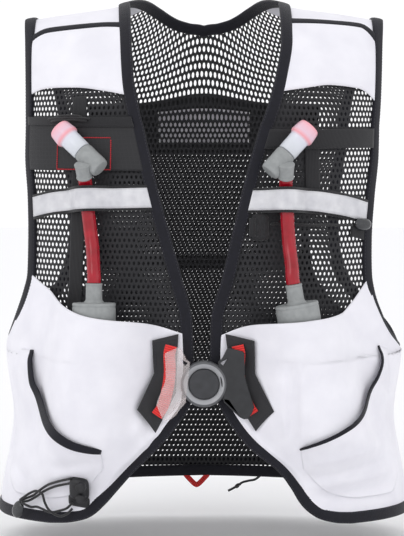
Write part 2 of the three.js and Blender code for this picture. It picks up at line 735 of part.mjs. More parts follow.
function lowerPockets() {
  for (const side of Object.keys(sides)) {
    const off = pocketOff(side);
    const own = [edgeCutter, armholeCutter[side]];
    const body = (a, b) => panelSpot(side, a, b * lineLevel("pocket" + side, a));
    const bodySheet = sheet(body, 14, 11, off, raised(off, wall.fabric));
    add("lower_pocket_" + side, without(bodySheet, ...own), "fabric_white");

    const patchOff = raised(off, wall.fabric + patchGap);
    const mouth = (s) => {
      const level = curve(MOUTH.along, MOUTH["level" + side], s);
      return [angleAt(sides[side] * curve(MOUTH.along, MOUTH["share" + side], s), level), level];
    };
    const foot = (s) => {
      const level = curve(PATCH_FOOT.along, PATCH_FOOT.level, s);
      return [angleAt(sides[side] * curve(PATCH_FOOT.along, PATCH_FOOT.share, s), level), level];
    };
    const between = (a, b) => {
      const from = mouth(a);
      const to = foot(a);
      return [mix(from[0], to[0], b), mix(from[1], to[1], b)];
    };
    const frames = framesAlong(
      Array.from({ length: 12 }, (_, k) => mouth(k / 11)),
      patchOff,
    );
    const patchSheet = sheet(between, 9, 7, patchOff, raised(patchOff, wall.fabric));
    const trimCutter = cutter(trimEnds(frames, -trim.width), trim.width, gap, trim.thickness, false);
    add("pocket_patch_" + side, without(patchSheet, edgeCutter, trimCutter), "fabric_white");
    add("patch_trim_" + side, loft(frames, flat(trim.width, gap, trim.thickness)), "binding_navy");
  }
}

// A strip of cloth across a front panel, about a named line, of a width and at a height.
function crossStrip(side, line, width, low, high, columns = 9) {
  const half = width / 2 / vest.bodyLength;
  const spot = (a, b) => panelSpot(side, a, lineLevel(line, a) + mix(-half, half, b));
  return without(
    sheet(spot, columns, 1, low, high),
    edgeCutter,
    armholeCutter[side],
  );
}

// Lowest place of a tube on the panel, and the flask's axis.
const tubeLow = wall.mesh + gap + tube.radius;
const flaskOff = wall.mesh + layerGap + cap.radius;

function tubeOff(level) {
  return mix(tubeLow, flaskOff, curve(TUBE.level, TUBE.lift, level));
}

function chest() {
  for (const side of Object.keys(sides)) {
    const over = (angle, travel) => {
      const under = angleAt(sides[side] * curve(TUBE.level, TUBE[side], travel), travel);
      const away = skin(angle, travel).distanceTo(skin(under, travel)) / band.bumpSpan;
      const rise = tubeOff(travel) + tube.radius + 9 * gap - second;
      return second + rise * Math.max(0, 1 - away ** 2) ** 2;
    };
    const strip = crossStrip(side, "band" + side, band.width, over, raised(over, wall.webbing), 14);
    add("chest_band_" + side, strip, "webbing_black");
    const low = raised(over, wall.webbing + 3 * gap);
    const tapeStrip = crossStrip(side, "band" + side, tape.width, low, raised(low, tape.thickness), 14);
    add("reflective_tape_" + side, tapeStrip, "tape_silver");
  }
  const panel = (a, b) => {
    const top = lineLevel("chestR", a) + webbing.width / 2 / vest.bodyLength;
    return panelSpot("R", a, mix(CHEST_PANEL_FOOT, top, b));
  };
  const panelSheet = sheet(panel, 9, 2, second, second + wall.fabric);
  add("chest_panel_R", without(panelSheet, edgeCutter, armholeCutter.R), "ripstop_black");
  const upper = crossStrip("R", "chestR", webbing.width, third, third + wall.webbing);
  add("chest_webbing_R", upper, "webbing_black");
  const upperLeft = crossStrip("L", "chestL", webbing.width, second, second + wall.webbing);
  add("chest_webbing_L", upperLeft, "webbing_black");
}

// A straight turned piece between two points: profile lists [radius, share of the length].
function turned(from, to, profile, count) {
  const along = to.clone().sub(from);
  const points = profile.map(([radius, share]) => new THREE.Vector2(radius, share * along.length()));
  const made = new THREE.LatheGeometry(points, count);
  made.applyQuaternion(
    new THREE.Quaternion().setFromUnitVectors(new THREE.Vector3(0, 1, 0), along.clone().normalize()),
  );
  return made.translate(from.x, from.y, from.z);
}

const ellipse = (halfWidth, halfDepth, count) =>
  Array.from({ length: count }, (_, k) => {
    const turn = (k / count) * 2 * Math.PI;
    return [halfWidth * Math.cos(turn), halfDepth * Math.sin(turn)];
  });

function drinkUnit(side) {
  const sign = sides[side];
  const [bottom, top] = FLASK_AXIS.level;
  const spots = FLASK.up.map((up) => {
    const level = mix(bottom, top, up);
    return [flaskAngle(side, level), level];
  });
  const offs = FLASK.off.map((share) => share * flaskOff);
  const spine = spots.map(([angle, level], i) => place(angle, level, offs[i]));
  const spoutTop = place(angleAt(sign * SPOUT_TOP[side], SPOUT_TOP.level), SPOUT_TOP.level, flaskOff);
  const neck = spine[spine.length - 1];
  const axis = spoutTop.clone().sub(neck).normalize();
  const frames = spine.map((at, i) => {
    const before = spine[Math.max(0, i - 1)];
    const after = spine[Math.min(spine.length - 1, i + 1)];
    const along = at === neck ? axis : after.clone().sub(before).normalize();
    const sideways = along.clone().cross(outward(...spots[i])).normalize();
    return { at, along, side: sideways, out: sideways.clone().cross(along).normalize() };
  });
  const body = loft(frames, (i) =>
    ellipse(flask.halfWidth * FLASK.width[i], flask.halfDepth * FLASK.depth[i], flask.sides),
  );
  add("flask_" + side, body, "flask_clear");

  const seat = neck.clone().addScaledVector(axis, layerGap);
  const end = seat.clone().addScaledVector(axis, cap.height + cap.spoutHeight);
  const shoulder = cap.height / (cap.height + cap.spoutHeight);
  const profile = [
    [0, 0], [cap.radius, 0], [cap.radius, shoulder * 0.9], [cap.radius * 0.93, shoulder],
    [cap.spoutRadius * 1.15, shoulder], [cap.spoutRadius, shoulder + 0.04], [cap.spoutRadius, 1], [0, 1],
  ];
  add("flask_cap_" + side, turned(seat, end, profile, cap.sides), "cap_grey");

  // The red tube, from the spout up behind the chest band to the valve.
  const route = TUBE.level.slice(1).map((level, i) =>
    place(angleAt(sign * TUBE[side][i + 1], level), level, tubeOff(level)),
  );
  route.unshift(end.clone().addScaledVector(axis, gap), end.clone().addScaledVector(axis, tube.lead));
  const path = new THREE.CatmullRomCurve3(route, false, "centripetal");
  const tubeFrames = Array.from({ length: tube.steps + 1 }, (_, k) => {
    const at = path.getPointAt(k / tube.steps);
    const along = k === 0 ? axis : path.getTangentAt(k / tube.steps);
    const sideways = along.clone().cross(new THREE.Vector3(0, -1, 0)).normalize();
    return { at, along, side: sideways, out: sideways.clone().cross(along).normalize() };
  });
  const round = ellipse(tube.radius, tube.radius, tube.sides);
  add("drink_tube_" + side, loft(tubeFrames, () => round), "tube_red");

  // The valve: a stem on the tube's end and a slanting barrel, then the bite piece.
  const level = TUBE.level[TUBE.level.length - 1];
  const off = tubeOff(level);
  const spot = ([share, height]) => place(angleAt(sign * share, height), height, off);
  const base = spot(VALVE[side].base);
  const slant = spot(VALVE[side].tip).sub(base).normalize();
  const mouth = base.clone().addScaledVector(slant, valve.length);
  const barrel = turned(base, mouth, [[0, 0], [valve.radius * 0.85, 0], [valve.radius, 0.12],
    [valve.radius, 0.9], [valve.radius * 0.92, 1], [0, 1]], valve.sides);
  const last = tubeFrames[tube.steps];
  const foot = last.at.clone().addScaledVector(last.along, gap);
  const head = foot.clone().addScaledVector(last.along, valve.stemLength);
  const stemProfile = [[0, 0], [valve.stemRadius, 0], [valve.stemRadius, 1], [0, 1]];
  const stem = turned(foot, head, stemProfile, valve.sides);
  add("valve_body_" + side, meshOf(solidOf(barrel).add(solidOf(stem))), "cap_grey");
  const start = mouth.clone().addScaledVector(slant, gap);
  const tip = start.clone().addScaledVector(slant, bite.length);
  const biteProfile = [[0, 0], [bite.baseRadius, 0], [bite.baseRadius, 0.52], [bite.shoulderRadius, 0.61],
    [bite.shoulderRadius, 0.7], [bite.tipRadius, 0.95], [bite.tipRadius * 0.9, 1], [0, 1]];
  add("bite_valve_" + side, turned(start, tip, biteProfile, valve.sides), "bite_pink");
}

// The buckle: sewn plates, red webbing and an arm on each, then a ring and its button.
const dialFace = skin(0, dial.level).y - pocketOff("R")(0, dial.level) - wall.fabric - 2 * gap;
const dialZ = skin(0, dial.level).z;

function flatSolid(outline, holes, y, thickness) {
  const shape = new THREE.Shape(outline.map(([x, z]) => new THREE.Vector2(x, z)));
  for (const hole of holes) {
    shape.holes.push(new THREE.Path(hole.map(([x, z]) => new THREE.Vector2(x, z))));
  }
  const made = new THREE.ExtrudeGeometry(shape, { depth: thickness, bevelEnabled: false });
  return made.rotateX(Math.PI / 2).translate(0, y, 0);
}

const armOutline = (side) =>
  ARM_OUTLINE[side].map(([share, up]) => [sides[side] * share * arm.reach, (up * arm.height) / 2]);

// The red webbing's outline: its middle line, half a width to each side of it.
function webbingOutline(side) {
  const half = redWebbing.width / 2;
  const line = RED_LINE.map(([share, up]) => [sides[side] * share * arm.reach, (up * arm.height) / 2]);
  return [...line.map(([x, z]) => [x + half, z]), ...line.map(([x, z]) => [x - half, z]).reverse()];
}

// How far forward a sewn plate stands, at the foremost corner of what lies on it.
function plateFront(side) {
  const fronts = [...armOutline(side), ...webbingOutline(side)].map(([x, z]) => {
    const level = dial.level + z / vest.bodyLength;
    const angle = angleAt(x / ringAt(level).half, level);
    return place(angle, level, pocketOff(side)(angle, level) + wall.fabric + plateGap + wall.plate).y;
  });
  return Math.min(...fronts);
}

function buckle() {
  for (const [side, sign] of Object.entries(sides)) {
    const off = raised(pocketOff(side), wall.fabric + plateGap);
    const [a, b, c, d, e, f] = PLATE[side].map(([share, level]) => [sign * share, level]);
    const blend = (from, to, t) => [mix(from[0], to[0], t), mix(from[1], to[1], t)];
    const inner = (t) => (t < 0.5 ? blend(a, f, t * 2) : blend(f, e, t * 2 - 1));
    const outer = (t) => (t < 0.4 ? blend(b, c, t / 0.4) : blend(c, d, (t - 0.4) / 0.6));
    const plate = sheet(
      (u, v) => {
        const [share, level] = blend(inner(v), outer(v), u);
        return [angleAt(share, level), level];
      },
      3, 7, off, raised(off, wall.plate),
    );
    add("buckle_plate_" + side, without(plate, edgeCutter), "plastic_black");
  }

  const rim = dial.ringRadius + gap;
  for (const side of Object.keys(sides)) {
    const webFace = plateFront(side);
    const armFace = webFace - redWebbing.thickness - gap;
    const bore = new THREE.CylinderGeometry(rim, rim, arm.height, 28).translate(0, armFace, 0);
    const whole = flatSolid(armOutline(side), [], armFace, arm.thickness);
    const cut = meshOf(solidOf(whole).subtract(solidOf(bore)));
    add("buckle_arm_" + side, cut.translate(0, 0, dialZ), side === "R" ? "plastic_clear" : "plastic_dark");

    const red = flatSolid(webbingOutline(side), [], webFace, redWebbing.thickness);
    add("red_webbing_" + side, red.translate(0, 0, dialZ), "webbing_red");
  }

  const centre = new THREE.Vector3(0, dialFace, dialZ);
  const front = (depth) => centre.clone().add(new THREE.Vector3(0, -depth, 0));
  const inside = (dial.buttonRadius + gap) / dial.ringRadius;
  const ring = [
    [inside, 0], [0.96, 0], [1, 0.1], [1, 0.7], [0.9, 1], [inside * 1.06, 1], [inside, 0.92], [inside, 0],
  ];
  const ringProfile = ring.map(([share, up]) => [share * dial.ringRadius, up]);
  add("dial_ring", turned(centre, front(dial.ringHeight), ringProfile, dial.sides), "plastic_clear");
  const button = [[0, 0], [1, 0], [1, 0.86], [0.94, 1], [0.72, 1], [0.66, 0.93], [0, 0.93]];
  const buttonProfile = button.map(([share, up]) => [share * dial.buttonRadius, up]);
  add("dial_button", turned(centre, front(dial.buttonHeight), buttonProfile, dial.sides), "plastic_dark");
}

// The red loop that hangs from the back hem, with its hole open through it.
function hemLoop() {
  const level = backHemLevel(0);
  const at = skin(0, 4 - level);
  const top = at.z - binding.width / 2 - 3 * gap;
  const half = loop.width / 2;
  const outline = [[-half, 0], [-loop.tip / 2, -loop.height], [loop.tip / 2, -loop.height], [half, 0]];
  const hole = [[-loop.hole / 2, -2], [loop.hole / 2, -2], [0, -loop.height * 0.62]];
  const made = flatSolid(outline, [hole], at.y, loop.thickness);
  return made.translate(-loop.aside, loop.thickness / 2 + wall.mesh, top);
}

// A rounded block on the cloth: width across, height up, depth off it.
function block(share, level, offAt, { width, height, depth }, side, turn = 0) {
  const angle = angleAt(sides[side] * share, level);
  const spot = (a, l) => place(a, l, offAt(a, l));
  const nudge = 0.01;
  const round = spot(angle + nudge, level).sub(spot(angle - nudge, level));
  const rise = spot(angle, level + nudge).sub(spot(angle, level - nudge));
  const out = round.cross(rise).normalize();
  const across = new THREE.Vector3(0, 0, 1).cross(out).negate().normalize();
  const up = out.clone().cross(across).negate().normalize();
  const ax = across.clone().multiplyScalar(Math.cos(turn)).addScaledVector(up, Math.sin(turn));
  const az = up.clone().multiplyScalar(Math.cos(turn)).addScaledVector(across, -Math.sin(turn));
  const at = spot(angle, level);
  const frames = BLOCK.up.map((t) => ({
    at: at.clone().addScaledVector(az, t * height),
    side: ax,
    out,
  }));
  return loft(frames, (i) => {
    const half = (width / 2) * BLOCK.width[i];
    return [[-half, 0], [half, 0], [half * BLOCK.face, depth], [-half * BLOCK.face, depth]];
  });
}

function rope(points) {
  const path = new THREE.CatmullRomCurve3(points.map((p) => new THREE.Vector3(...p)), false, "centripetal");
  const spans = points.length - 1;
  const shares = [0];
  for (let i = 0; i < spans; i += 1) {
    const length = path.getPoint(i / spans).distanceTo(path.getPoint((i + 1) / spans));
    const steps = Math.max(1, Math.round(length / cord.step));
    for (let k = 1; k <= steps; k += 1) shares.push((i + k / steps) / spans);
  }
  const at = shares.map((share) => path.getPoint(share));
  const along = shares.map((share) => path.getTangent(share));
  const round = ellipse(cord.radius, cord.radius, cord.sides);
  const frames = at.map((point, i) => {
    const side = along[i].clone().cross(new THREE.Vector3(0, -1, 0.01)).normalize();
    return { at: point, side, out: side.clone().cross(along[i]).normalize() };
  });
  return loft(frames, () => round);
}

// The small fittings and the elastic cords.
function fittings() {
  const front = raised(pocketOff("R"), 2 * wall.fabric + patchGap + 7 * gap);
  add("cord_lock_R", block(LOCK.share, LOCK.level, front, lock, "R", LOCK.turn), "plastic_black");
  const pullOff = raised(front, 2 * cord.radius + gap);
  add("cord_pull_R", block(PULL.share, PULL.level, pullOff, pull, "R", PULL.turn), "plastic_black");
  add("lock_cord_outer", rope(LOCK_CORD_OUTER), "cord_black");
  add("lock_cord_inner", rope(LOCK_CORD_INNER), "cord_black");

  const chestOff = () => wall.mesh + gap;
  add("chest_tab_L", block(CHEST_TAB.share, CHEST_TAB.level, chestOff, tab, "L"), "webbing_black");
  add("chest_cord_L", rope(CHEST_CORD), "cord_black");
  const pullSeat = () => bindingHigh + 6 * gap;
  const chestPullSolid = block(CHEST_PULL.share, CHEST_PULL.level, pullSeat, chestPull, "L");
  add("cord_pull_L", chestPullSolid, "plastic_black");
  add("hem_cord", rope(HEM_CORD), "cord_black");
  add("hem_loop", hemLoop(), "webbing_red");
}

bodyPanels();
bindings();
armholes();
backPocket();
lowerPockets();
chest();
drinkUnit("R");
drinkUnit("L");
buckle();
fittings();

export default group;
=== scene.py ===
"""A running hydration vest in open mesh and white stretch cloth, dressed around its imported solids.

Shapes are worked out in millimetres on one torso surface and put into Blender in metres.
R is the wearer's right side, at -X, and L the left side, at +X. The front faces -Y.
"""
import math

import bmesh
import bpy
import numpy as np
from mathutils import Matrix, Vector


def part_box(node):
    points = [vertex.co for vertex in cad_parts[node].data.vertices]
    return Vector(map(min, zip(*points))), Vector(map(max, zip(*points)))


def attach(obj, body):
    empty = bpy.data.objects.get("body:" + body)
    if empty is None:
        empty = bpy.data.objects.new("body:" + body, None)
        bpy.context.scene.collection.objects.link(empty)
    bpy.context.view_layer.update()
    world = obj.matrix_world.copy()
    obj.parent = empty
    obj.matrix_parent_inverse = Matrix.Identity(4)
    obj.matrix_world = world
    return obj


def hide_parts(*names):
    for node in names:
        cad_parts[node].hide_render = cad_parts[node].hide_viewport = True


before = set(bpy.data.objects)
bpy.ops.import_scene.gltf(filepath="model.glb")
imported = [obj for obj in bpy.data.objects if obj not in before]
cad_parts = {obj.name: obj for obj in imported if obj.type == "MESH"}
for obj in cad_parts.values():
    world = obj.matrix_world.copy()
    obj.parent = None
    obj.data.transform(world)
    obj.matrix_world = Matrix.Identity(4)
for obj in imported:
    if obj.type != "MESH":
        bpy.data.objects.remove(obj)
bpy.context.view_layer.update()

MM = 0.001
SIDES = {"R": -1, "L": 1}

# Camera and floor.
AIM_HEIGHT = -0.256
CAMERA_DISTANCE = 2.4
CAMERA_RISE = math.radians(4)
FOCAL_PIXELS = 2352
FRAME_WIDTH = 404
MIDDLE_PIXEL = 204
FLOOR_Z = -0.53


def set_camera():
    """A long lens four degrees above the vest's middle, framed as the photograph is."""
    data = bpy.data.cameras.new("camera")
    data.sensor_fit = "HORIZONTAL"
    data.sensor_width = 36
    data.lens = FOCAL_PIXELS / FRAME_WIDTH * data.sensor_width
    data.shift_x = (FRAME_WIDTH / 2 - MIDDLE_PIXEL) / FRAME_WIDTH
    camera = bpy.data.objects.new("camera", data)
    away = CAMERA_DISTANCE * math.cos(CAMERA_RISE)
    camera.location = (0, -away, AIM_HEIGHT + CAMERA_DISTANCE * math.sin(CAMERA_RISE))
    camera.rotation_euler = (math.pi / 2 - CAMERA_RISE, 0, 0)
    bpy.context.scene.collection.objects.link(camera)
    bpy.context.scene.camera = camera


def area_light(name, place, size, power, color=(1, 1, 1)):
    """A soft square light that faces the vest's middle."""
    data = bpy.data.lights.new(name, "AREA")
    data.shape = "SQUARE"
    data.size = size
    data.energy = power
    data.color = color
    light = bpy.data.objects.new(name, data)
    light.location = place
    aim = np.array([0, 0, AIM_HEIGHT]) - np.array(place)
    flat = math.hypot(aim[0], aim[1])
    light.rotation_euler = (math.atan2(flat, -aim[2]), 0, math.atan2(aim[1], aim[0]) - math.pi / 2)
    bpy.context.scene.collection.objects.link(light)


def set_lights():
    """A white studio: an even bright surround, a key from the upper left and a weak fill from the right."""
    world = bpy.data.worlds.new("studio")
    world.use_nodes = True
    surround = world.node_tree.nodes["Background"]
    surround.inputs["Color"].default_value = (0.985, 0.985, 1, 1)
    surround.inputs["Strength"].default_value = 1.06
    bpy.context.scene.world = world
    area_light("key", (-1.5, -2.0, 1.3), 1.2, 8)
    area_light("fill", (1.9, -1.6, 0.3), 1.6, 2)
    bpy.context.scene.view_settings.view_transform = "Standard"


# The torso that the vest is cut to.
HALF_WIDTH, FRONT_DEPTH, BACK_DEPTH, SQUARENESS = 190, 128, 112, 2.4
CHEST_Z, BODY_LENGTH = -110, 385
HEM_Z = CHEST_Z - BODY_LENGTH
SHOULDER_HEIGHT, SHOULDER_FALL, NECK_RISE, NECK_SPREAD = 10, 19, 65, 45

RING = {
    "level": [0, 0.1, 0.25, 0.43, 0.61, 0.82, 1],
    "width": [1.08, 1.045, 0.99, 1.03, 1.0, 0.98, 0.97],
    "front": [1.0, 1.0, 0.985, 0.97, 0.955, 0.92, 0.845],
    "back": [1.0, 0.965, 0.93, 0.93, 0.945, 0.98, 1.0],
}
FRONT_EDGE = {
    "level": [0, 0.005, 0.02, 0.05, 0.09, 0.135, 0.2, 0.25, 0.31, 0.36,
              0.41, 0.51, 0.61, 0.71, 0.81, 0.91, 1.03, 1.24, 1.5, 2],
    "R": [0.74, 0.65, 0.56, 0.5, 0.44, 0.371, 0.252, 0.17, 0.095, 0.085,
          0.082, 0.09, 0.14, 0.198, 0.256, 0.308, 0.36, 0.4, 0.416, 0.435],
    "L": [0.7, 0.63, 0.55, 0.49, 0.45, 0.394, 0.25, 0.17, 0.1, 0.065,
          0.06, 0.065, 0.12, 0.168, 0.218, 0.272, 0.343, 0.405, 0.44, 0.435],
}
NECK = {
    "level": [1.35, 1.375, 1.46, 1.62, 1.74, 1.85, 2],
    "share": [0, 0.08, 0.175, 0.265, 0.315, 0.36, 0.435],
}
ARMHOLE = {
    "level": [0.41, 0.44, 0.46, 0.5, 0.57, 0.62, 0.71, 0.82, 0.93, 1.18, 1.6, 2],
    "R": [1, 0.99, 0.975, 0.948, 0.91, 0.893, 0.897, 0.91, 0.932, 0.933, 0.94, 0.95],
    "L": [1, 0.955, 0.928, 0.892, 0.853, 0.843, 0.85, 0.875, 0.906, 0.925, 0.938, 0.95],
    "back": [1, 0.975, 0.95, 0.88, 0.775, 0.738, 0.722, 0.735, 0.772, 0.815, 0.9, 0.95],
}
UNDERARM = 0.41
BACK_HEM = {"share": [0, 0.5, 1], "level": [0.036, 0.03, 0.002]}
ACROSS = {
    "share": [0, 0.25, 0.5, 0.75, 1],
    "pipingR": [1.6, 1.64, 1.65, 1.655, 1.58],
    "pipingL": [1.65, 1.685, 1.705, 1.72, 1.56],
    "yokeR": [1.15, 1.185, 1.21, 1.215, 1.18],
    "yokeL": [1.17, 1.2, 1.225, 1.215, 1.13],
    "pocketR": [0.475, 0.505, 0.522, 0.565, 0.62],
    "pocketL": [0.47, 0.503, 0.513, 0.525, 0.61],
    "bandR": [0.819, 0.817, 0.814, 0.806, 0.787],
    "bandL": [0.812, 0.812, 0.81, 0.798, 0.774],
    "chestR": [1.02, 1.02, 1.02, 1.025, 1.025],
    "chestL": [0.965, 0.965, 0.965, 0.966, 0.966],
}


def curve(xs, ys, x):
    """A smooth curve through a table's points that never swings past them: a cubic in each span,
    whose slope at a point is the harmonic mean of the slopes on its two sides, or none at a turn."""
    xs, ys = np.asarray(xs, float), np.asarray(ys, float)
    x = np.clip(x, xs[0], xs[-1])
    rise = np.diff(ys) / np.diff(xs)
    product, total = rise[:-1] * rise[1:], rise[:-1] + rise[1:]
    inner = np.where(product > 0, 2 * product / np.where(total == 0, 1, total), 0)
    slope = np.concatenate([rise[:1], inner, rise[-1:]])
    i = np.clip(np.searchsorted(xs, x, side="right") - 1, 0, len(xs) - 2)
    step = xs[i + 1] - xs[i]
    t = (x - xs[i]) / step
    start = (2 * t**3 - 3 * t**2 + 1) * ys[i] + (t**3 - 2 * t**2 + t) * step * slope[i]
    end = (3 * t**2 - 2 * t**3) * ys[i + 1] + (t**3 - t**2) * step * slope[i + 1]
    return start + end


def mix(a, b, t):
    return a + (b - a) * t


def ease(x, low, high):
    """0 below low, 1 above high, and 3t^2 - 2t^3 between them."""
    t = np.clip((x - low) / (high - low), 0, 1)
    return t * t * (3 - 2 * t)


def ring(travel):
    """Level, half width and depth at a travel: 0 front hem, 1 chest, 2 shoulder ridge, 4 back hem."""
    level = np.where(travel > 2, 4 - travel, travel)
    half = HALF_WIDTH * curve(RING["level"], RING["width"], level)
    front = FRONT_DEPTH * curve(RING["level"], RING["front"], level)
    back = BACK_DEPTH * curve(RING["level"], RING["back"], level)
    own = np.where(travel > 2, back, front)
    return level, half, mix(own, (front + back) / 2, np.maximum(0, level - 1))


def skin(angle, travel):
    """The torso: each ring is the superellipse |x/half|^n + |y/depth|^n = 1, and above the chest
    it leans in, its depth times cos(lean) and its height towards the ridge line times sin(lean)."""
    angle, travel = np.broadcast_arrays(np.asarray(angle, float), np.asarray(travel, float))
    level, half, depth = ring(travel)
    across = np.abs(np.sin(angle) / half) ** SQUARENESS
    along = np.abs(np.cos(angle) / depth) ** SQUARENESS
    reach = (across + along) ** (-1 / SQUARENESS)
    x = reach * np.sin(angle)
    lean = np.maximum(0, level - 1) * np.pi / 2
    y = np.where(travel < 2, -1, 1) * reach * np.cos(angle) * np.cos(lean)
    ridge = SHOULDER_HEIGHT - SHOULDER_FALL * (x / HALF_WIDTH) ** 2
    ridge = ridge + NECK_RISE * np.exp(-((x / NECK_SPREAD) ** 2))
    z = np.where(level > 1, CHEST_Z + (ridge - CHEST_Z) * np.sin(lean), HEM_Z + level * BODY_LENGTH)
    return np.stack([x, y, z], -1)


def unit(v):
    return v / np.linalg.norm(v, axis=-1, keepdims=True)


def outward(angle, travel):
    """The torso's outward direction: the cross product of its steps round and up."""
    step = 1e-3
    around = skin(angle + step, travel) - skin(angle - step, travel)
    up = skin(angle, travel + step) - skin(angle, travel - step)
    return unit(np.cross(around, up))


def place(angle, travel, off):
    off = np.asarray(off, float)
    return skin(angle, travel) + outward(angle, travel) * off[..., None]


def angle_at(share, travel):
    """The angle where the ring's x is a signed share of its half width."""
    _, half, depth = ring(np.asarray(travel, float))
    away = np.maximum(0, 1 - np.abs(share) ** SQUARENESS) ** (1 / SQUARENESS)
    return np.arctan2(share * half, depth * away)


def inner_angle(side, travel):
    """The front edge's angle, or the back neckline's, without its sign."""
    travel = np.asarray(travel, float)
    front = curve(FRONT_EDGE["level"], FRONT_EDGE[side], travel)
    neck = curve(NECK["level"], NECK["share"], 4 - travel)
    return angle_at(np.where(travel > 2, neck, front), travel)


def outer_angle(side, travel):
    """The armhole edge's angle, or the side seam's below it, without its sign."""
    travel = np.asarray(travel, float)
    front = curve(ARMHOLE["level"], ARMHOLE[side], travel)
    back = curve(ARMHOLE["level"], ARMHOLE["back"], 4 - travel)
    return np.minimum(np.pi / 2, angle_at(np.where(travel > 2, back, front), travel))


def panel_spot(side, share, travel):
    """Angle and travel at a share across a panel, from its front edge to its armhole."""
    return SIDES[side] * mix(inner_angle(side, travel), outer_angle(side, travel), share), travel


def line_level(name, share):
    return curve(ACROSS["share"], ACROSS[name], share)


def back_hem_level(angle):
    return curve(BACK_HEM["share"], BACK_HEM["level"], np.abs(angle) / (np.pi / 2))


# Surfaces.
def put(name, points, face_sets, finish, slot, nodes=(), corner_uv=None, smooth=True, sharp=None):
    """Puts points in millimetres and sets of equal-sided faces into a mesh that rides on the vest."""
    mesh = bpy.data.meshes.new(name)
    points = np.asarray(points, float).reshape(-1, 3) * MM
    sizes = np.concatenate([np.full(len(f), f.shape[1]) for f in face_sets])
    corners = np.concatenate([f.reshape(-1) for f in face_sets]).astype(np.int32)
    mesh.vertices.add(len(points))
    mesh.vertices.foreach_set("co", points.reshape(-1).astype(np.float32))
    mesh.loops.add(len(corners))
    mesh.loops.foreach_set("vertex_index", corners)
    mesh.polygons.add(len(sizes))
    mesh.polygons.foreach_set("loop_start", np.concatenate([[0], np.cumsum(sizes)[:-1]]).astype(np.int32))
    mesh.polygons.foreach_set("loop_total", sizes.astype(np.int32))
    mesh.update(calc_edges=True)
    if corner_uv is not None:
        layer = mesh.uv_layers.new(name="cloth")
        layer.data.foreach_set("uv", (np.concatenate(corner_uv) * MM).reshape(-1).astype(np.float32))
    mesh.polygons.foreach_set("use_smooth", np.full(len(sizes), smooth))
    if sharp:
        mesh.set_sharp_from_angle(angle=math.radians(sharp))
    mesh.materials.append(finish)
    piece = bpy.data.objects.new(name, mesh)
    bpy.context.scene.collection.objects.link(piece)
    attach(piece, "root")
    if nodes:
        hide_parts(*nodes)
    return piece


def grid(rows, columns, round_rows=False, round_columns=False):
    """The quads of a grid of points, with each corner's row and column."""
    j = np.arange(rows if round_rows else rows - 1)
    i = np.arange(columns if round_columns else columns - 1)
    j, i = (k.reshape(-1, 1) for k in np.meshgrid(j, i, indexing="ij"))
    corner_j = j + np.array([0, 0, 1, 1])
    corner_i = i + np.array([0, 1, 1, 0])
    return (corner_j % rows) * columns + corner_i % columns, corner_j, corner_i


def volume(points, faces):
    """Six times the volume that faces enclose, from the triple products of each face's fan."""
    total = 0
    for f in faces:
        for k in range(1, f.shape[1] - 1):
            a, b, c = points[f[:, 0]], points[f[:, k]], points[f[:, k + 1]]
            total += (a * np.cross(b, c)).sum()
    return total


def facing_out(points, sets, uvs):
    """A closed shape whose faces point outward: all of them are turned round, each with its corners'
    cloth coordinates, where the volume that they enclose is negative."""
    if volume(points, sets) < 0:
        sets = [f[:, ::-1] for f in sets]
        uvs = [u.reshape(-1, f.shape[1], 2)[:, ::-1].reshape(-1, 2) for u, f in zip(uvs, sets)]
    return points, sets, uvs


def distances(points, axis):
    """Mean running length along one axis of a grid of points."""
    steps = np.linalg.norm(np.diff(points, axis=axis), axis=-1).mean(1 - axis)
    return np.concatenate([[0], np.cumsum(steps)])


def shell(top, bottom, keep=None):
    """A closed sheet between two grids of points: both faces, and a rim wherever a face ends."""
    rows, columns = top.shape[:2]
    faces, corner_j, corner_i = grid(rows, columns)
    if keep is not None:
        kept = keep.reshape(-1)
        faces, corner_j, corner_i = faces[kept], corner_j[kept], corner_i[kept]
    uv = np.stack([distances(top, 1)[corner_i], distances(top, 0)[corner_j]], -1)
    count = rows * columns
    edges = np.stack([faces, np.roll(faces, -1, axis=1)], -1).reshape(-1, 2)
    edge_uv = np.stack([uv, np.roll(uv, -1, axis=1)], -2).reshape(-1, 2, 2)
    forward = edges[:, 0] * count + edges[:, 1]
    backward = edges[:, 1] * count + edges[:, 0]
    lone = ~np.isin(forward, backward)
    rim, rim_uv = edges[lone], edge_uv[lone]
    sides = np.stack([rim[:, 1], rim[:, 0], rim[:, 0] + count, rim[:, 1] + count], -1)
    side_uv = np.stack([rim_uv[:, 1], rim_uv[:, 0], rim_uv[:, 0], rim_uv[:, 1]], 1)
    points = np.concatenate([top.reshape(-1, 3), bottom.reshape(-1, 3)])
    faces = np.concatenate([faces, faces[:, ::-1] + count, sides])
    uv = np.concatenate([uv, uv[:, ::-1], side_uv])
    if volume(points, [faces]) < 0:
        faces, uv = faces[:, ::-1], uv[:, ::-1]
    return points, [faces], [uv.reshape(-1, 2)]


def squares(columns, rows):
    """Shares across and up of a grid of points."""
    return np.meshgrid(np.linspace(0, 1, columns + 1), np.linspace(0, 1, rows + 1))


def cloth(name, spot, columns, rows, low, thick, finish, slot, nodes=(), keep=None, sharp=None):
    """A sheet on the torso: spot(a, b) gives its angle and travel, low its height off the torso."""
    a, b = squares(columns, rows)
    angle, travel = spot(a, b)
    off = low(a, b, angle, travel) if callable(low) else np.full(a.shape, float(low))
    points, faces, uv = shell(place(angle, travel, off + thick), place(angle, travel, off), keep)
    return put(name, points, faces, finish, slot, nodes, uv, sharp=sharp)


def run_length(points, closed=False):
    steps = np.linalg.norm(np.diff(points, axis=0), axis=1)
    if closed:
        steps = np.append(steps, np.linalg.norm(points[0] - points[-1]))
    return np.concatenate([[0], np.cumsum(steps)])


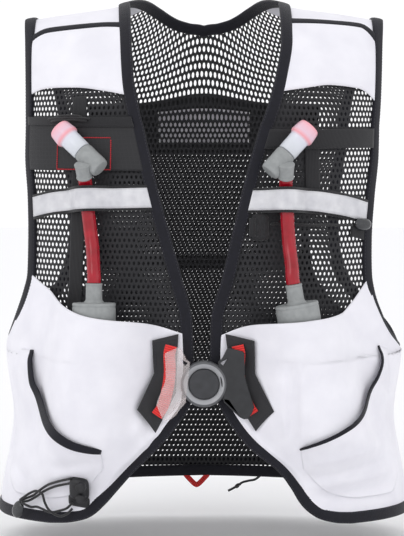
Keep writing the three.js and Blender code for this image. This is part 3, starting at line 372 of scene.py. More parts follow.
def resample(points, out, step, closed=False):
    """Points and outward directions spread evenly along a finely drawn path."""
    if closed:
        points, out = np.vstack([points, points[:1]]), np.vstack([out, out[:1]])
    run = run_length(points)
    count = max(2, int(round(run[-1] / step)))
    at = np.linspace(0, run[-1], count + 1)
    if closed:
        at = at[:-1]
    even = np.stack([np.interp(at, run, points[:, k]) for k in range(3)], -1)
    even_out = np.stack([np.interp(at, run, out[:, k]) for k in range(3)], -1)
    return even, unit(even_out)


def frames_along(points, out, closed=False):
    """At each point of a path: its place, its direction, its side direction and its outward one."""
    if closed:
        along = np.roll(points, -1, axis=0) - np.roll(points, 1, axis=0)
    else:
        along = np.gradient(points, axis=0)
    along = unit(along)
    side = unit(np.cross(along, out))
    return points, along, side, np.cross(side, along)


def on_path(angle, travel, off, step, closed=False):
    """Frames spread evenly along a path on the torso."""
    points, out = place(angle, travel, off), outward(angle, travel)
    return frames_along(*resample(points, out, step, closed), closed)


def sweep(frames, profile, closed=False):
    """A closed profile of (side, out) pairs carried along frames; open ends get a flat face.
    Each point is at + side part x side direction + out part x outward direction."""
    at, _, side, out = frames
    profile = np.broadcast_to(profile, (len(at),) + np.shape(profile)[-2:])
    ring_points = at[:, None] + profile[..., :1] * side[:, None] + profile[..., 1:] * out[:, None]
    rows, columns = profile.shape[:2]
    faces, corner_j, corner_i = grid(rows, columns, closed, True)
    round_profile = np.concatenate([profile[0], profile[0][:1]])
    u, v = run_length(round_profile), run_length(at, closed)
    uv = np.stack([u[corner_i], v[corner_j]], -1).reshape(-1, 2)
    sets, uvs = [faces], [uv]
    if not closed:
        end = np.arange(columns)[None]
        sets += [end[:, ::-1], end + (rows - 1) * columns]
        uvs += [profile[0][::-1], profile[-1]]
    points = ring_points.reshape(-1, 3)
    return facing_out(points, sets, uvs)


def pillow(width, low, high, count=18, squareness=3.0):
    """A flat rounded profile: a superellipse as wide as the strip, between two heights."""
    turn = np.linspace(0, 2 * np.pi, count, endpoint=False)
    c, s = np.cos(turn), np.sin(turn)
    u = np.sign(c) * np.abs(c) ** (2 / squareness) * width / 2
    v = np.sign(s) * np.abs(s) ** (2 / squareness) * (high - low) / 2 + (high + low) / 2
    return np.stack([u, v], -1)


def strip(name, frames, profile, finish, slot, nodes=(), closed=False, sharp=None):
    points, faces, uv = sweep(frames, profile, closed)
    return put(name, points, faces, finish, slot, nodes, uv, sharp=sharp)


def lathe(start, end, profile, count):
    """A turned piece: profile rows of radius and distance along the axis, spun about it."""
    start, end = np.asarray(start, float), np.asarray(end, float)
    axis = unit(end - start)
    side = unit(np.cross(axis, [0.0, 0.3, 1.0] if abs(axis[2]) < 0.9 else [0.0, 1.0, 0.0]))
    up = np.cross(axis, side)
    profile = np.asarray(profile, float)
    turn = np.linspace(0, 2 * np.pi, count, endpoint=False)
    around = np.cos(turn)[:, None] * side + np.sin(turn)[:, None] * up
    points = start + profile[:, None, 1:] * axis + profile[:, None, :1] * around[None]
    points = points.reshape(-1, 3)
    faces, corner_j, corner_i = grid(len(profile), count, False, True)
    u = np.linspace(0, 1, count + 1) * 2 * np.pi * profile[:, 0].max()
    v = run_length(profile)
    uv = np.stack([u[corner_i], v[corner_j]], -1).reshape(-1, 2)
    ends = np.arange(count)[None]
    sets = [faces, ends[:, ::-1], ends + (len(profile) - 1) * count]
    circle = np.stack([np.cos(turn), np.sin(turn)], -1)
    uvs = [uv, circle[::-1] * profile[0, 0], circle * profile[-1, 0]]
    return facing_out(points, sets, uvs)


def joined(*parts):
    """Several closed shapes as one."""
    points, sets, uvs, start = [], [], [], 0
    for part_points, part_sets, part_uvs in parts:
        points.append(part_points)
        sets += [f + start for f in part_sets]
        uvs += part_uvs
        start += len(part_points)
    return np.concatenate(points), sets, uvs


def smooth_path(points, per_span=8):
    """A centripetal Catmull-Rom curve through points: in each span a cubic whose end slopes come
    from the neighbouring points, spaced by the square roots of their distances."""
    p = np.asarray(points, float)
    p = np.vstack([2 * p[0] - p[1], p, 2 * p[-1] - p[-2]])
    d = np.sqrt(np.linalg.norm(np.diff(p, axis=0), axis=1))[:, None]
    d0, d1, d2 = d[:-2], d[1:-1], d[2:]
    p0, p1, p2, p3 = p[:-3], p[1:-2], p[2:-1], p[3:]
    m1 = ((p1 - p0) / d0 - (p2 - p0) / (d0 + d1) + (p2 - p1) / d1) * d1
    m2 = ((p2 - p1) / d1 - (p3 - p1) / (d1 + d2) + (p3 - p2) / d2) * d1
    t = np.linspace(0, 1, per_span, endpoint=False)[None, :, None]
    h = [2 * t**3 - 3 * t**2 + 1, t**3 - 2 * t**2 + t, 3 * t**2 - 2 * t**3, t**3 - t**2]
    spans = h[0] * p1[:, None] + h[1] * m1[:, None] + h[2] * p2[:, None] + h[3] * m2[:, None]
    return np.vstack([spans.reshape(-1, 3), p[-2:-1]])


def round_profile(radius, count):
    turn = np.linspace(0, 2 * np.pi, count, endpoint=False)
    return np.stack([np.cos(turn), np.sin(turn)], -1) * radius


def tube(points, radius, count=16):
    """A round tube along a smooth path; its side direction never flips, as it turns with the path."""
    along = unit(np.gradient(points, axis=0))
    sides = np.empty_like(points)
    side = unit(np.cross(along[0], [0.0, -1.0, 0.05]))
    for i, direction in enumerate(along):
        side = unit(side - direction * (side @ direction))
        sides[i] = side
    frames = (points, along, sides, np.cross(sides, along))
    return sweep(frames, round_profile(radius, count))


def stitches(frames, across, off, pitch=3.4, length=2.3, radius=0.42, first=0.5):
    """A row of short threads along frames: each a five-sided bead stretched along the path."""
    at, along, side, out = frames
    run = run_length(at)
    places = np.arange(first * pitch, run[-1] - pitch * 0.4, pitch)
    pick = lambda rows: np.stack([np.interp(places, run, rows[:, k]) for k in range(3)], -1)
    centre = pick(at) + across * pick(side) + off * pick(out)
    turn = np.linspace(0, 2 * np.pi, 5, endpoint=False)
    reach = np.array([-0.5, -0.25, 0.25, 0.5]) * length
    fat = np.array([0.35, 1, 1, 0.35]) * radius
    ring_side = fat[:, None] * np.cos(turn)
    ring_out = fat[:, None] * np.sin(turn) * 0.8
    points = (
        centre[:, None, None]
        + reach[None, :, None, None] * pick(along)[:, None, None]
        + ring_side[None, ..., None] * pick(side)[:, None, None]
        + ring_out[None, ..., None] * pick(out)[:, None, None]
    )
    faces, _, _ = grid(4, 5, False, True)
    start = (np.arange(len(places)) * 20)[:, None, None]
    quads = (faces[None] + start).reshape(-1, 4)
    caps = np.array([[4, 3, 2, 1, 0], [15, 16, 17, 18, 19]])
    caps = (caps[None] + start).reshape(-1, 5)
    points = points.reshape(-1, 3)
    sets = [quads, caps]
    if volume(points, sets) < 0:
        sets = [f[:, ::-1] for f in sets]
    uvs = [np.zeros((f.size, 2)) for f in sets]
    return points, sets, uvs


# Finishes.
def linear(hex_color):
    """An sRGB colour as Blender's linear one."""
    parts = np.array([(hex_color >> shift) & 255 for shift in (16, 8, 0)]) / 255
    light = np.where(parts <= 0.04045, parts / 12.92, ((parts + 0.055) / 1.055) ** 2.4)
    return (*light.tolist(), 1)


class Finish:
    """A material as it is built: its node tree, its shader and short ways to add to them."""

    def __init__(self, name, color, roughness, **sockets):
        self.material = bpy.data.materials.new(name)
        self.material.use_nodes = True
        self.tree = self.material.node_tree
        self.shader = self.tree.nodes["Principled BSDF"]
        self.shader.inputs["Base Color"].default_value = linear(color)
        self.shader.inputs["Roughness"].default_value = roughness
        for socket, value in sockets.items():
            self.shader.inputs[socket.replace("_", " ")].default_value = value

    def add(self, kind, **values):
        """A node with its inputs set: a value, or another node's output to link."""
        node = self.tree.nodes.new(kind)
        for name, value in values.items():
            self.feed(node.inputs[name.replace("_", " ")], value)
        return node

    def feed(self, socket, value):
        if isinstance(value, bpy.types.NodeSocket):
            self.tree.links.new(value, socket)
        else:
            socket.default_value = value

    def math(self, operation, a, b=0.0):
        node = self.tree.nodes.new("ShaderNodeMath")
        node.operation = operation
        self.feed(node.inputs[0], a)
        self.feed(node.inputs[1], b)
        return node.outputs[0]

    def uv(self):
        """The cloth's own two lengths, in metres, across and along it."""
        coordinates = self.tree.nodes.new("ShaderNodeTexCoord")
        parts = self.add("ShaderNodeSeparateXYZ", Vector=coordinates.outputs["UV"])
        return parts.outputs["X"], parts.outputs["Y"]

    def place(self):
        return self.tree.nodes.new("ShaderNodeTexCoord").outputs["Object"]

    def noise(self, size, detail=2.0, vector=None):
        """Noise whose lumps are about size metres across."""
        node = self.add("ShaderNodeTexNoise", Vector=vector or self.place(), Scale=1 / size, Detail=detail)
        return node.outputs["Fac"]

    def ribs(self, length, period):
        """0 to 1 and back once in each period along a length, as |sin|."""
        turned = self.math("MULTIPLY", length, math.pi / period)
        return self.math("ABSOLUTE", self.math("SINE", turned))

    def weave(self, across, along, period):
        """Over and under in both directions: the product of two sines."""
        a = self.math("SINE", self.math("MULTIPLY", across, 2 * math.pi / period))
        b = self.math("SINE", self.math("MULTIPLY", along, 2 * math.pi / period))
        return self.math("MULTIPLY_ADD", self.math("MULTIPLY", a, b), 0.5)

    def tint(self, factor, low, high, a, b):
        """The base colour runs from a to b as factor goes from low to high."""
        ramp = self.add("ShaderNodeValToRGB", Fac=factor)
        ramp.color_ramp.elements[0].position = low
        ramp.color_ramp.elements[1].position = high
        ramp.color_ramp.elements[0].color = linear(a)
        ramp.color_ramp.elements[1].color = linear(b)
        self.tree.links.new(ramp.outputs["Color"], self.shader.inputs["Base Color"])

    def bands(self, factor, stops):
        """The base colour runs through stops, each a position and a colour."""
        ramp = self.add("ShaderNodeValToRGB", Fac=factor)
        elements = ramp.color_ramp.elements
        for element, (position, color) in zip(elements, (stops[0], stops[-1])):
            element.position, element.color = position, linear(color)
        for position, color in stops[1:-1]:
            elements.new(position).color = linear(color)
        self.tree.links.new(ramp.outputs["Color"], self.shader.inputs["Base Color"])

    def bump(self, height, depth, strength=1.0):
        """Relief of a depth in metres from a height between 0 and 1."""
        node = self.add("ShaderNodeBump", Height=height, Distance=depth, Strength=strength)
        previous = self.shader.inputs["Normal"].links
        if previous:
            self.tree.links.new(previous[0].from_socket, node.inputs["Normal"])
        self.tree.links.new(node.outputs["Normal"], self.shader.inputs["Normal"])

    def rough(self, factor, low, high):
        """Roughness that runs from low to high with a factor."""
        node = self.add("ShaderNodeMapRange", Value=factor, To_Min=low, To_Max=high)
        self.tree.links.new(node.outputs["Result"], self.shader.inputs["Roughness"])


def knitted_mesh():
    """Black polyester net: matt strands with a fine yarn grain."""
    f = Finish("knitted_mesh", 0x1C1C23, 0.62, Specular_IOR_Level=0.45, Sheen_Weight=0.12)
    grain = f.noise(0.0006)
    f.tint(grain, 0.3, 0.75, 0x0D0D11, 0x1A1A20)
    f.bump(grain, 0.0002)
    return f.material


def white_stretch():
    """Smooth white stretch cloth: fine knit ribs, a soft mottle and a little sheen."""
    f = Finish("white_stretch", 0xE8E7EE, 0.66, Sheen_Weight=0.1)
    across, along = f.uv()
    knit = f.weave(across, along, 0.0011)
    f.tint(f.noise(0.03, 3.0), 0.3, 0.7, 0xE4E3EA, 0xEDECF2)
    f.bump(f.ribs(across, 0.0009), 0.00006)
    f.bump(knit, 0.00005)
    f.bump(f.noise(0.022, 3.0), 0.0009, 0.5)
    return f.material


def navy_binding():
    """Folded stretch binding: dark navy, close cross ribs and a soft nap."""
    f = Finish("navy_binding", 0x14141E, 0.7, Sheen_Weight=0.1, Specular_IOR_Level=0.3)
    across, along = f.uv()
    f.tint(f.noise(0.004, 4.0), 0.3, 0.8, 0x0A0A14, 0x12121E)
    f.bump(f.ribs(along, 0.0008), 0.00007)
    f.bump(f.noise(0.0012), 0.00025)
    return f.material


def black_webbing():
    """Woven webbing: ribs across it, each crossed by fine threads."""
    f = Finish("black_webbing", 0x1A1A1F, 0.72, Sheen_Weight=0.15)
    across, along = f.uv()
    f.tint(f.weave(across, along, 0.0016), 0.2, 0.9, 0x0C0C10, 0x18181D)
    f.bump(f.ribs(across, 0.0015), 0.00025)
    f.bump(f.ribs(along, 0.0009), 0.00012)
    return f.material


def ripstop():
    """Thin black woven cloth with a square reinforcing grid."""
    f = Finish("ripstop", 0x232329, 0.5, Specular_IOR_Level=0.5)
    across, along = f.uv()
    lines = f.math("MAXIMUM", f.ribs(across, 0.0042), f.ribs(along, 0.0042))
    raised = f.math("GREATER_THAN", lines, 0.97)
    f.tint(raised, 0.0, 1.0, 0x101014, 0x1A1A1F)
    f.bump(raised, 0.00012)
    f.bump(f.weave(across, along, 0.0009), 0.0001)
    return f.material


def silver_tape():
    """Reflective tape: grey with a fine beaded grain and soft long streaks."""
    f = Finish("silver_tape", 0xCFCFD3, 0.42, Metallic=0.25)
    across, along = f.uv()
    streaks = f.noise(0.012, 3.0)
    f.tint(streaks, 0.3, 0.7, 0xC4C4C9, 0xDADADD)
    f.bump(f.weave(across, along, 0.0011), 0.00008)
    f.bump(f.noise(0.0007), 0.0001)
    return f.material


def light_patch():
    f = Finish("light_patch", 0xD9D6DC, 0.6)
    across, along = f.uv()
    f.tint(f.noise(0.01), 0.3, 0.7, 0xCFCCD3, 0xE0DDE3)
    f.bump(f.weave(across, along, 0.001), 0.00008)
    return f.material


def cloudy_film():
    """The flask's thin plastic: milky, slightly wrinkled and seen through."""
    f = Finish("cloudy_film", 0xDCE0E4, 0.3, Alpha=0.72, Coat_Weight=0.3)
    f.bump(f.noise(0.016, 2.0), 0.0012, 0.5)
    f.tint(f.noise(0.02), 0.35, 0.7, 0xD2D7DC, 0xE8EAED)
    return f.material


def moulded(name, color, shade, roughness, grain=0.00035, **sockets):
    """Moulded plastic with a fine spark-eroded grain and slight wear in its gloss."""
    f = Finish(name, color, roughness, **sockets)
    lumps = f.noise(grain)
    f.tint(f.noise(0.006, 3.0), 0.35, 0.7, color, shade)
    f.rough(f.noise(0.003), roughness - 0.05, roughness + 0.08)
    f.bump(lumps, 0.00004)
    return f.material


def red_tube():
    """Soft clear red tube: wet gloss over a deep red."""
    f = Finish("red_tube", 0x980E20, 0.22, Coat_Weight=0.35, Coat_Roughness=0.06, Specular_IOR_Level=0.3)
    f.tint(f.noise(0.012), 0.3, 0.7, 0x8A0A1A, 0xA61226)
    f.bump(f.noise(0.004), 0.0001, 0.4)
    return f.material


def bite_silicone():
    """Milky silicone that turns pink towards its ring and tip, along the piece's own length."""
    f = Finish("bite_silicone", 0xDFE1E8, 0.32, Coat_Weight=0.3, Subsurface_Weight=0.0)
    _, along = f.uv()
    f.bands(f.math("MULTIPLY", along, 1 / 0.045), [
        (0.0, 0xC9CDD2), (0.3, 0xD4D7DF), (0.42, 0xD8D8E3), (0.49, 0xEE9FA9), (0.58, 0xE0C0CF),
        (0.72, 0xE8B7C4), (0.82, 0xEE9CA6), (1.0, 0xEC8B95),
    ])
    f.bump(f.noise(0.005), 0.0002, 0.5)
    return f.material


def clouded_clear():
    """Clouded clear plastic: pale and half seen through, with a bright gloss."""
    f = Finish("clouded_clear", 0xE9DDDC, 0.22, Alpha=0.24, Coat_Weight=0.6)
    f.tint(f.noise(0.008), 0.3, 0.7, 0xE2D3D2, 0xF3ECEB)
    f.bump(f.noise(0.003), 0.0001, 0.4)
    return f.material


def turned_ring_painted_light():
    """The dial ring's smoky plastic, with fine turned lines round it, and light and shade painted in bands
    along its profile.
    """
    f = Finish("smoky_ring_painted_light", 0x8B8D91, 0.34, Coat_Weight=0.4)
    _, along = f.uv()
    # Painted light along the profile: smoky grey, darker on the rim, a painted highlight on the concave
    # chamfer and painted shade down the inner lip into the gap by the button.
    f.bands(f.math("MULTIPLY", along, 1 / 0.026), [
        (0.0, 0x6F7175), (0.45, 0x4A4B4E), (0.655, 0x4F5053), (0.68, 0x9C9DA0), (0.84, 0xA8A9AC),
        (0.9, 0x3A3B3E), (1.0, 0x2E2F31),
    ])
    f.bump(f.ribs(along, 0.0009), 0.00008)
    return f.material


def red_webbing():
    """Bright red woven tape with bold cross ribs."""
    f = Finish("red_webbing", 0xDD1B1B, 0.65, Sheen_Weight=0.15)
    across, along = f.uv()
    f.tint(f.ribs(along, 0.0021), 0.1, 0.8, 0xB51212, 0xEC2A26)
    f.bump(f.ribs(along, 0.0021), 0.0005)
    f.bump(f.ribs(across, 0.0008), 0.0001)
    return f.material


def braided_cord():
    """Round elastic cord in a braided black sleeve, its ribs slanting round it."""
    f = Finish("braided_cord", 0x1B1B20, 0.6, Sheen_Weight=0.2)
    across, along = f.uv()
    slant = f.math("ADD", along, f.math("MULTIPLY", across, 0.6))
    other = f.math("SUBTRACT", along, f.math("MULTIPLY", across, 0.6))
    braid = f.math("MULTIPLY", f.ribs(slant, 0.0013), f.ribs(other, 0.0013))
    f.tint(braid, 0.1, 0.8, 0x08080A, 0x1A1A1F)
    f.bump(braid, 0.0002)
    return f.material


def thread(name, color):
    """Sewing thread: matt, with a fine twist."""
    f = Finish(name, color, 0.7)
    f.bump(f.noise(0.0004), 0.0001)
    return f.material


NET = knitted_mesh()
WHITE = white_stretch()
BINDING = navy_binding()
WEBBING = black_webbing()
RIPSTOP = ripstop()
TAPE = silver_tape()
PATCH = light_patch()
FILM = cloudy_film()
GREY_PLASTIC = moulded("grey_plastic", 0x8B8E8E, 0x979A9A, 0.48)
BLACK_PLASTIC = moulded("black_plastic", 0x101013, 0x18181C, 0.45)
DARK_PLASTIC = moulded("dark_plastic", 0x1E1F22, 0x26272A, 0.42)
GLOSS_BLACK = moulded("gloss_black", 0x1A1C1F, 0x24272B, 0.2, Coat_Weight=0.5)
PLATE_CLOTH = moulded("plate_cloth", 0x1C1C1F, 0x242427, 0.6, grain=0.0008)
BUTTON_PLASTIC = moulded("button_plastic", 0x2C2D30, 0x35363A, 0.55, grain=0.0006)
RED_TUBE = red_tube()
SILICONE = bite_silicone()
CLOUDED = clouded_clear()
RING_PLASTIC = turned_ring_painted_light()
RED_WEBBING = red_webbing()
CORD = braided_cord()
THREAD = thread("dark_thread", 0x2B2B33)
RED_THREAD = thread("red_thread", 0xC21F2C)

# Layers off the torso.
WALL = 1.2
LAYER = 1.6
PATCH_GAP = 2.8
BACK_GAP = 2.8
PLATE_GAP = 1.8
PLATE_THICK = 2
GAP = 0.3
SECOND = WALL + LAYER
THIRD = SECOND + WALL + LAYER
FLASK_BULGE, FLASK_SPAN = 44, 64
FLASK_AXIS = {"level": [0.11, 0.497], "R": [0.585, 0.513], "L": [0.66, 0.45]}
POCKET_FILL = (0.055, 0.235)
WAIST_SLACK = {"rise": 2.6, "level": 0.33, "spread": 0.16}
BINDING_WIDTH, BINDING_LOW, BINDING_HIGH = 12, -1.0, 4.2


def flask_angle(side, level):
    """The flask's axis on the torso, from its foot to its neck."""
    (low, high), (foot, neck) = FLASK_AXIS["level"], FLASK_AXIS[side]
    return angle_at(SIDES[side] * mix(foot, neck, (level - low) / (high - low)), level)


def pocket_off(side, angle, level):
    """Height of the lower pocket: a slack over the waist, and a swell (1 - d^2)^2 over the flask."""
    away = np.linalg.norm(skin(angle, level) - skin(flask_angle(side, level), level), axis=-1) / FLASK_SPAN
    swell = np.maximum(0, 1 - away**2) ** 2 * ease(level, *POCKET_FILL)
    slack = np.exp(-(((level - WAIST_SLACK["level"]) / WAIST_SLACK["spread"]) ** 2))
    return SECOND + WAIST_SLACK["rise"] * slack + FLASK_BULGE * swell


# Folds of the lower pockets: a line from one point to another, as x and z, its width and height.
FOLDS = {
    "R": {
        "x": [-38, -46, -52, -60, -86, -150, -196, -188, -118, -50, -66],
        "z": [-335, -400, -395, -415, -432, -455, -440, -455, -330, -362, -380],
        "to_x": [-58, -40, -62, -44, -140, -100, -168, -172, -96, -74, -52],
        "to_z": [-400, -428, -425, -436, -447, -441, -466, -474, -395, -410, -432],
        "width": [11, 4, 5, 4, 6, 7, 6, 5, 15, 9, 4],
        "height": [-3.6, 2.6, -2.4, 2.2, -3.2, 1.4, -1.6, 1.4, 2.4, -2.6, 2.4],
    },
    "L": {
        "x": [76, 83, 72, 66, 92, 96, 100, 112, 150, 168, 120, 60],
        "z": [-338, -352, -385, -350, -440, -452, -463, -474, -330, -360, -425, -300],
        "to_x": [80, 86, 84, 60, 176, 180, 186, 186, 172, 182, 178, 100],
        "to_z": [-420, -424, -440, -412, -424, -440, -452, -466, -345, -380, -408, -318],
        "width": [4.5, 4, 6, 8, 6, 5, 5, 5, 7, 6, 9, 10],
        "height": [-4.6, 3.0, 2.0, 2.4, 2.4, -2.6, 2.4, -2.2, 2.6, -2.4, 2.0, 2.0],
    },
}


def folds(side, points):
    """The sum of the folds: each a ridge exp(-(d/width)^2) about its line, fading at its ends."""
    table = {key: np.asarray(values, float) for key, values in FOLDS[side].items()}
    x, z = points[..., 0, None], points[..., 2, None]
    run_x, run_z = table["to_x"] - table["x"], table["to_z"] - table["z"]
    length = np.hypot(run_x, run_z)
    along = ((x - table["x"]) * run_x + (z - table["z"]) * run_z) / length
    across = ((x - table["x"]) * run_z - (z - table["z"]) * run_x) / length
    inside = ease(along, -8, 14) * (1 - ease(along, length - 14, length + 8))
    return (table["height"] * inside * np.exp(-((across / table["width"]) ** 2))).sum(-1)


def slackness(points):
    """A soft unevenness of cloth: three slow waves that cross."""
    x, z = points[..., 0], points[..., 2]
    return (np.sin(x / 17 + z / 31) + np.sin(z / 23 - x / 41) + np.sin((x + z) / 37)) / 3


# Bound edges.
def signed(side, angle):
    return SIDES[side] * angle


def front_edge(side, low=0.0, high=2.0, count=400):
    travel = low + (high - low) * np.linspace(0, 1, count) ** 2
    return signed(side, inner_angle(side, travel)), travel


def hem_front(side, count=60):
    angle = np.linspace(np.pi / 2, float(inner_angle(side, 0.0)), count)
    return signed(side, angle), np.zeros(count)


def armhole(side, count=400):
    """Down the front from the ridge, under the arm and up the back."""
    level = UNDERARM + (2 - UNDERARM) * np.linspace(1, 0, count) ** 2.4
    back = 4 - level[::-1]
    angle = np.concatenate([outer_angle(side, level), outer_angle(side, back)])
    return signed(side, angle), np.concatenate([level, back])


def armhole_half(side, back):
    """The armhole's front half, or its back half."""
    angle, travel = armhole(side)
    own = travel > 2 if back else travel < 2
    return angle[own], travel[own]


def collar(count=240):
    """Round the back of the neck, from the right shoulder's ridge to the left one's."""
    travel = np.linspace(2.0001, 4 - NECK["level"][0], count)
    right, left = -inner_angle("R", travel), inner_angle("L", travel)[::-1]
    return np.concatenate([right, left[1:]]), np.concatenate([travel, travel[::-1][1:]])


def hem_back(count=240):
    angle = np.linspace(np.pi / 2, -np.pi / 2, count)
    return angle, 4 - back_hem_level(angle)


def bound_edges():
    """Folded binding on every free edge, with a row of stitches near its inner rim."""
    profile = pillow(BINDING_WIDTH, BINDING_LOW, BINDING_HIGH)
    threads = []
    runs = {"collar_binding": collar(), "hem_binding": hem_back()}
    for side in SIDES:
        hem, edge = hem_front(side), front_edge(side)
        runs["front_binding_" + side] = tuple(np.concatenate([h, e[1:]]) for h, e in zip(hem, edge))
    for name, (angle, travel) in runs.items():
        path = on_path(angle, travel, 0, 3.5)
        strip(name, path, profile, BINDING, "binding_navy", [name])
        for across in (-4.6, 4.6):
            threads.append(stitches(path, across, BINDING_HIGH * 0.86, pitch=3.2, radius=0.34))
    for side in SIDES:
        name = "armhole_binding_" + side
        path = on_path(*armhole(side), 0, 3.5, True)
        strip(name, path, profile, BINDING, "binding_navy", [name], closed=True)
        for across in (-4.6, 4.6):
            threads.append(stitches(path, across, BINDING_HIGH * 0.86, pitch=3.2, radius=0.34))
    points, sets, uvs = joined(*threads)
    put("edge_stitches", points, sets, THREAD, "binding_navy", corner_uv=uvs)


# Open mesh.
CELL_WIDTH, CELL_RISE = 4.7, 5.6
HOLE_HALF_WIDTH, HOLE_HALF_HEIGHT = 1.52, 2.3


def torso_lengths():
    """Two tables that lay the torso flat: length round each ring by angle, and length up a side."""
    travel = np.linspace(0, 4, 161)
    angle = np.linspace(0, np.pi / 2 + 0.02, 90)
    points = skin(angle[None], travel[:, None])
    around = np.concatenate(
        [np.zeros((161, 1)), np.cumsum(np.linalg.norm(np.diff(points, axis=1), axis=-1), axis=1)], axis=1)
    up = run_length(skin(np.full(161, 0.9), travel))
    return travel, angle, around, up


TRAVEL, ANGLE, AROUND, UP = torso_lengths()


def from_flat(round_mm, up_mm):
    """Angle and travel at a length round the ring and a length up, read from the flat tables:
    the length grows steadily with the angle, which is closed in on by halving."""
    travel = np.interp(up_mm, UP, TRAVEL)
    row = np.clip(travel / TRAVEL[1], 0, len(TRAVEL) - 1.001)
    j = row.astype(int)
    share = row - j
    low, high = np.zeros(travel.shape), np.full(travel.shape, ANGLE[-1])
    for _ in range(26):
        guess = (low + high) / 2
        column = np.clip(guess / ANGLE[1], 0, len(ANGLE) - 1.001)
        i = column.astype(int)
        left = mix(AROUND[j, i], AROUND[j + 1, i], share)
        right = mix(AROUND[j, i + 1], AROUND[j + 1, i + 1], share)
        short = mix(left, right, column - i) < np.abs(round_mm)
        low, high = np.where(short, guess, low), np.where(short, high, guess)
    return np.sign(round_mm) * (low + high) / 2, travel


def net(name, inside, edges, travel_range, off, nodes, hole=1.0, shift=(0, 0)):
    """Open mesh: tall hexagonal cells on the flat torso, each with an oval hole. A cell's eight
    rim points are shared with its neighbours and stand out, and eight points round the hole sink.
    The cut is the flat pattern itself: its extent, and each cell's area less its hole's."""
    low, high = np.interp(travel_range, TRAVEL, UP)
    reach = AROUND[:, -1].max()
    rows = np.arange(int(low / CELL_RISE) - 1, int(high / CELL_RISE) + 2)
    columns = np.arange(-int(reach / CELL_WIDTH) - 1, int(reach / CELL_WIDTH) + 2)
    row, column = (k.reshape(-1) for k in np.meshgrid(rows, columns, indexing="ij"))
    half_steps = 2 * column + row % 2
    angle, travel = from_flat(half_steps * CELL_WIDTH / 2 + shift[0], row * CELL_RISE + shift[1])
    centre = skin(angle, travel)
    on_torso = np.abs(angle) < ANGLE[-1] - 0.001
    kept = inside(angle, travel) & on_torso
    near = np.where(~kept & on_torso)[0]
    for edge in edges:
        gap_squared = ((centre[near, None] - skin(*edge)[None]) ** 2).sum(-1).min(1)
        kept[near[gap_squared < 1.6**2]] = True
    row, half_steps = row[kept], half_steps[kept]

    # Rim points in half cell widths and sixths of a row, from the top round to the right.
    rim_x = np.array([0, 1, 1, 1, 0, -1, -1, -1])
    rim_y = np.array([4, 2, 0, -2, -4, -2, 0, 2])
    key_x = half_steps[:, None] + rim_x
    key_y = row[:, None] * 6 + rim_y
    keys = (key_x + 100000) * 1000000 + key_y + 100000
    unique, index = np.unique(keys.reshape(-1), return_inverse=True)
    rim_flat_x = (unique // 1000000 - 100000) * CELL_WIDTH / 2
    rim_flat_y = (unique % 1000000 - 100000) * CELL_RISE / 6
    turn = np.radians([90, 42, 0, -42, -90, -138, 180, 138])
    hole_x = half_steps[:, None] * CELL_WIDTH / 2 + HOLE_HALF_WIDTH * hole * np.cos(turn)
    hole_y = row[:, None] * CELL_RISE + HOLE_HALF_HEIGHT * hole * np.sin(turn)
    flat_x = np.concatenate([rim_flat_x, hole_x.reshape(-1)])
    flat_y = np.concatenate([rim_flat_y, hole_y.reshape(-1)])
    relief = np.concatenate([np.full(len(unique), 0.3), np.full(hole_x.size, -0.1)])
    angle, travel = from_flat(flat_x + shift[0], flat_y + shift[1])
    heights = off(angle, travel) if callable(off) else off
    points = place(angle, travel, heights + relief)
    outer = index.reshape(-1, 8)
    inner = len(unique) + np.arange(len(row) * 8).reshape(-1, 8)
    quads = np.stack([outer, inner, np.roll(inner, -1, axis=1), np.roll(outer, -1, axis=1)], -1)
    quads = quads.reshape(-1, 4)
    flat = np.stack([flat_x, flat_y], -1)
    normal = np.cross(points[quads[:, 1]] - points[quads[:, 0]], points[quads[:, 2]] - points[quads[:, 0]])
    wrong = (normal * outward(angle, travel)[quads[:, 0]]).sum(-1) < 0
    quads[wrong] = quads[wrong][:, ::-1]
    uv = flat[quads.reshape(-1)]
    piece = put(name, points, [quads], NET, "mesh_black", nodes, [uv])
    return piece


def front_net(side):
    def inside(angle, travel):
        own = angle * SIDES[side]
        low, high = inner_angle(side, travel), outer_angle(side, travel)
        share = np.clip((own - low) / np.maximum(high - low, 1e-6), 0, 1)
        return (travel < 2) & (own > low) & (own < high) & (travel < line_level("piping" + side, share))

    share = np.linspace(0, 1, 60)
    piping = panel_spot(side, share, line_level("piping" + side, share))
    edges = [front_edge(side), hem_front(side), armhole_half(side, False), piping]
    net("front_net_" + side, inside, edges, (0, 1.75), 0.5, ["front_panel_" + side], 0.85)


def back_net():
    neck_low = 4 - NECK["level"][0]
    top = 4 - NECK["level"][4]

    def inside(angle, travel):
        side_limit = outer_angle("R", travel)
        clear_of_neck = (travel > neck_low) | (np.abs(angle) > inner_angle("R", travel))
        above_hem = travel < 4 - back_hem_level(angle)
        return (travel > top) & (np.abs(angle) < side_limit) & clear_of_neck & above_hem

    edges = [hem_back(), armhole_half("R", True), armhole_half("L", True), collar()]
    net("back_net", inside, edges, (top, 4), 0.5, ["back_panel"], 0.92)


# The back pocket.
POCKET_INSET, POCKET_FOOT, POCKET_TOP, BAND_FOOT = 0.82, 0.06, 1.11, 0.914
LOW_BAND = (0.599, 0.637)
WINDOW = {"half_share": 0.26, "low": 0.945, "high": 1.055}


def pocket_limit(travel):
    return outer_angle("R", travel) * POCKET_INSET


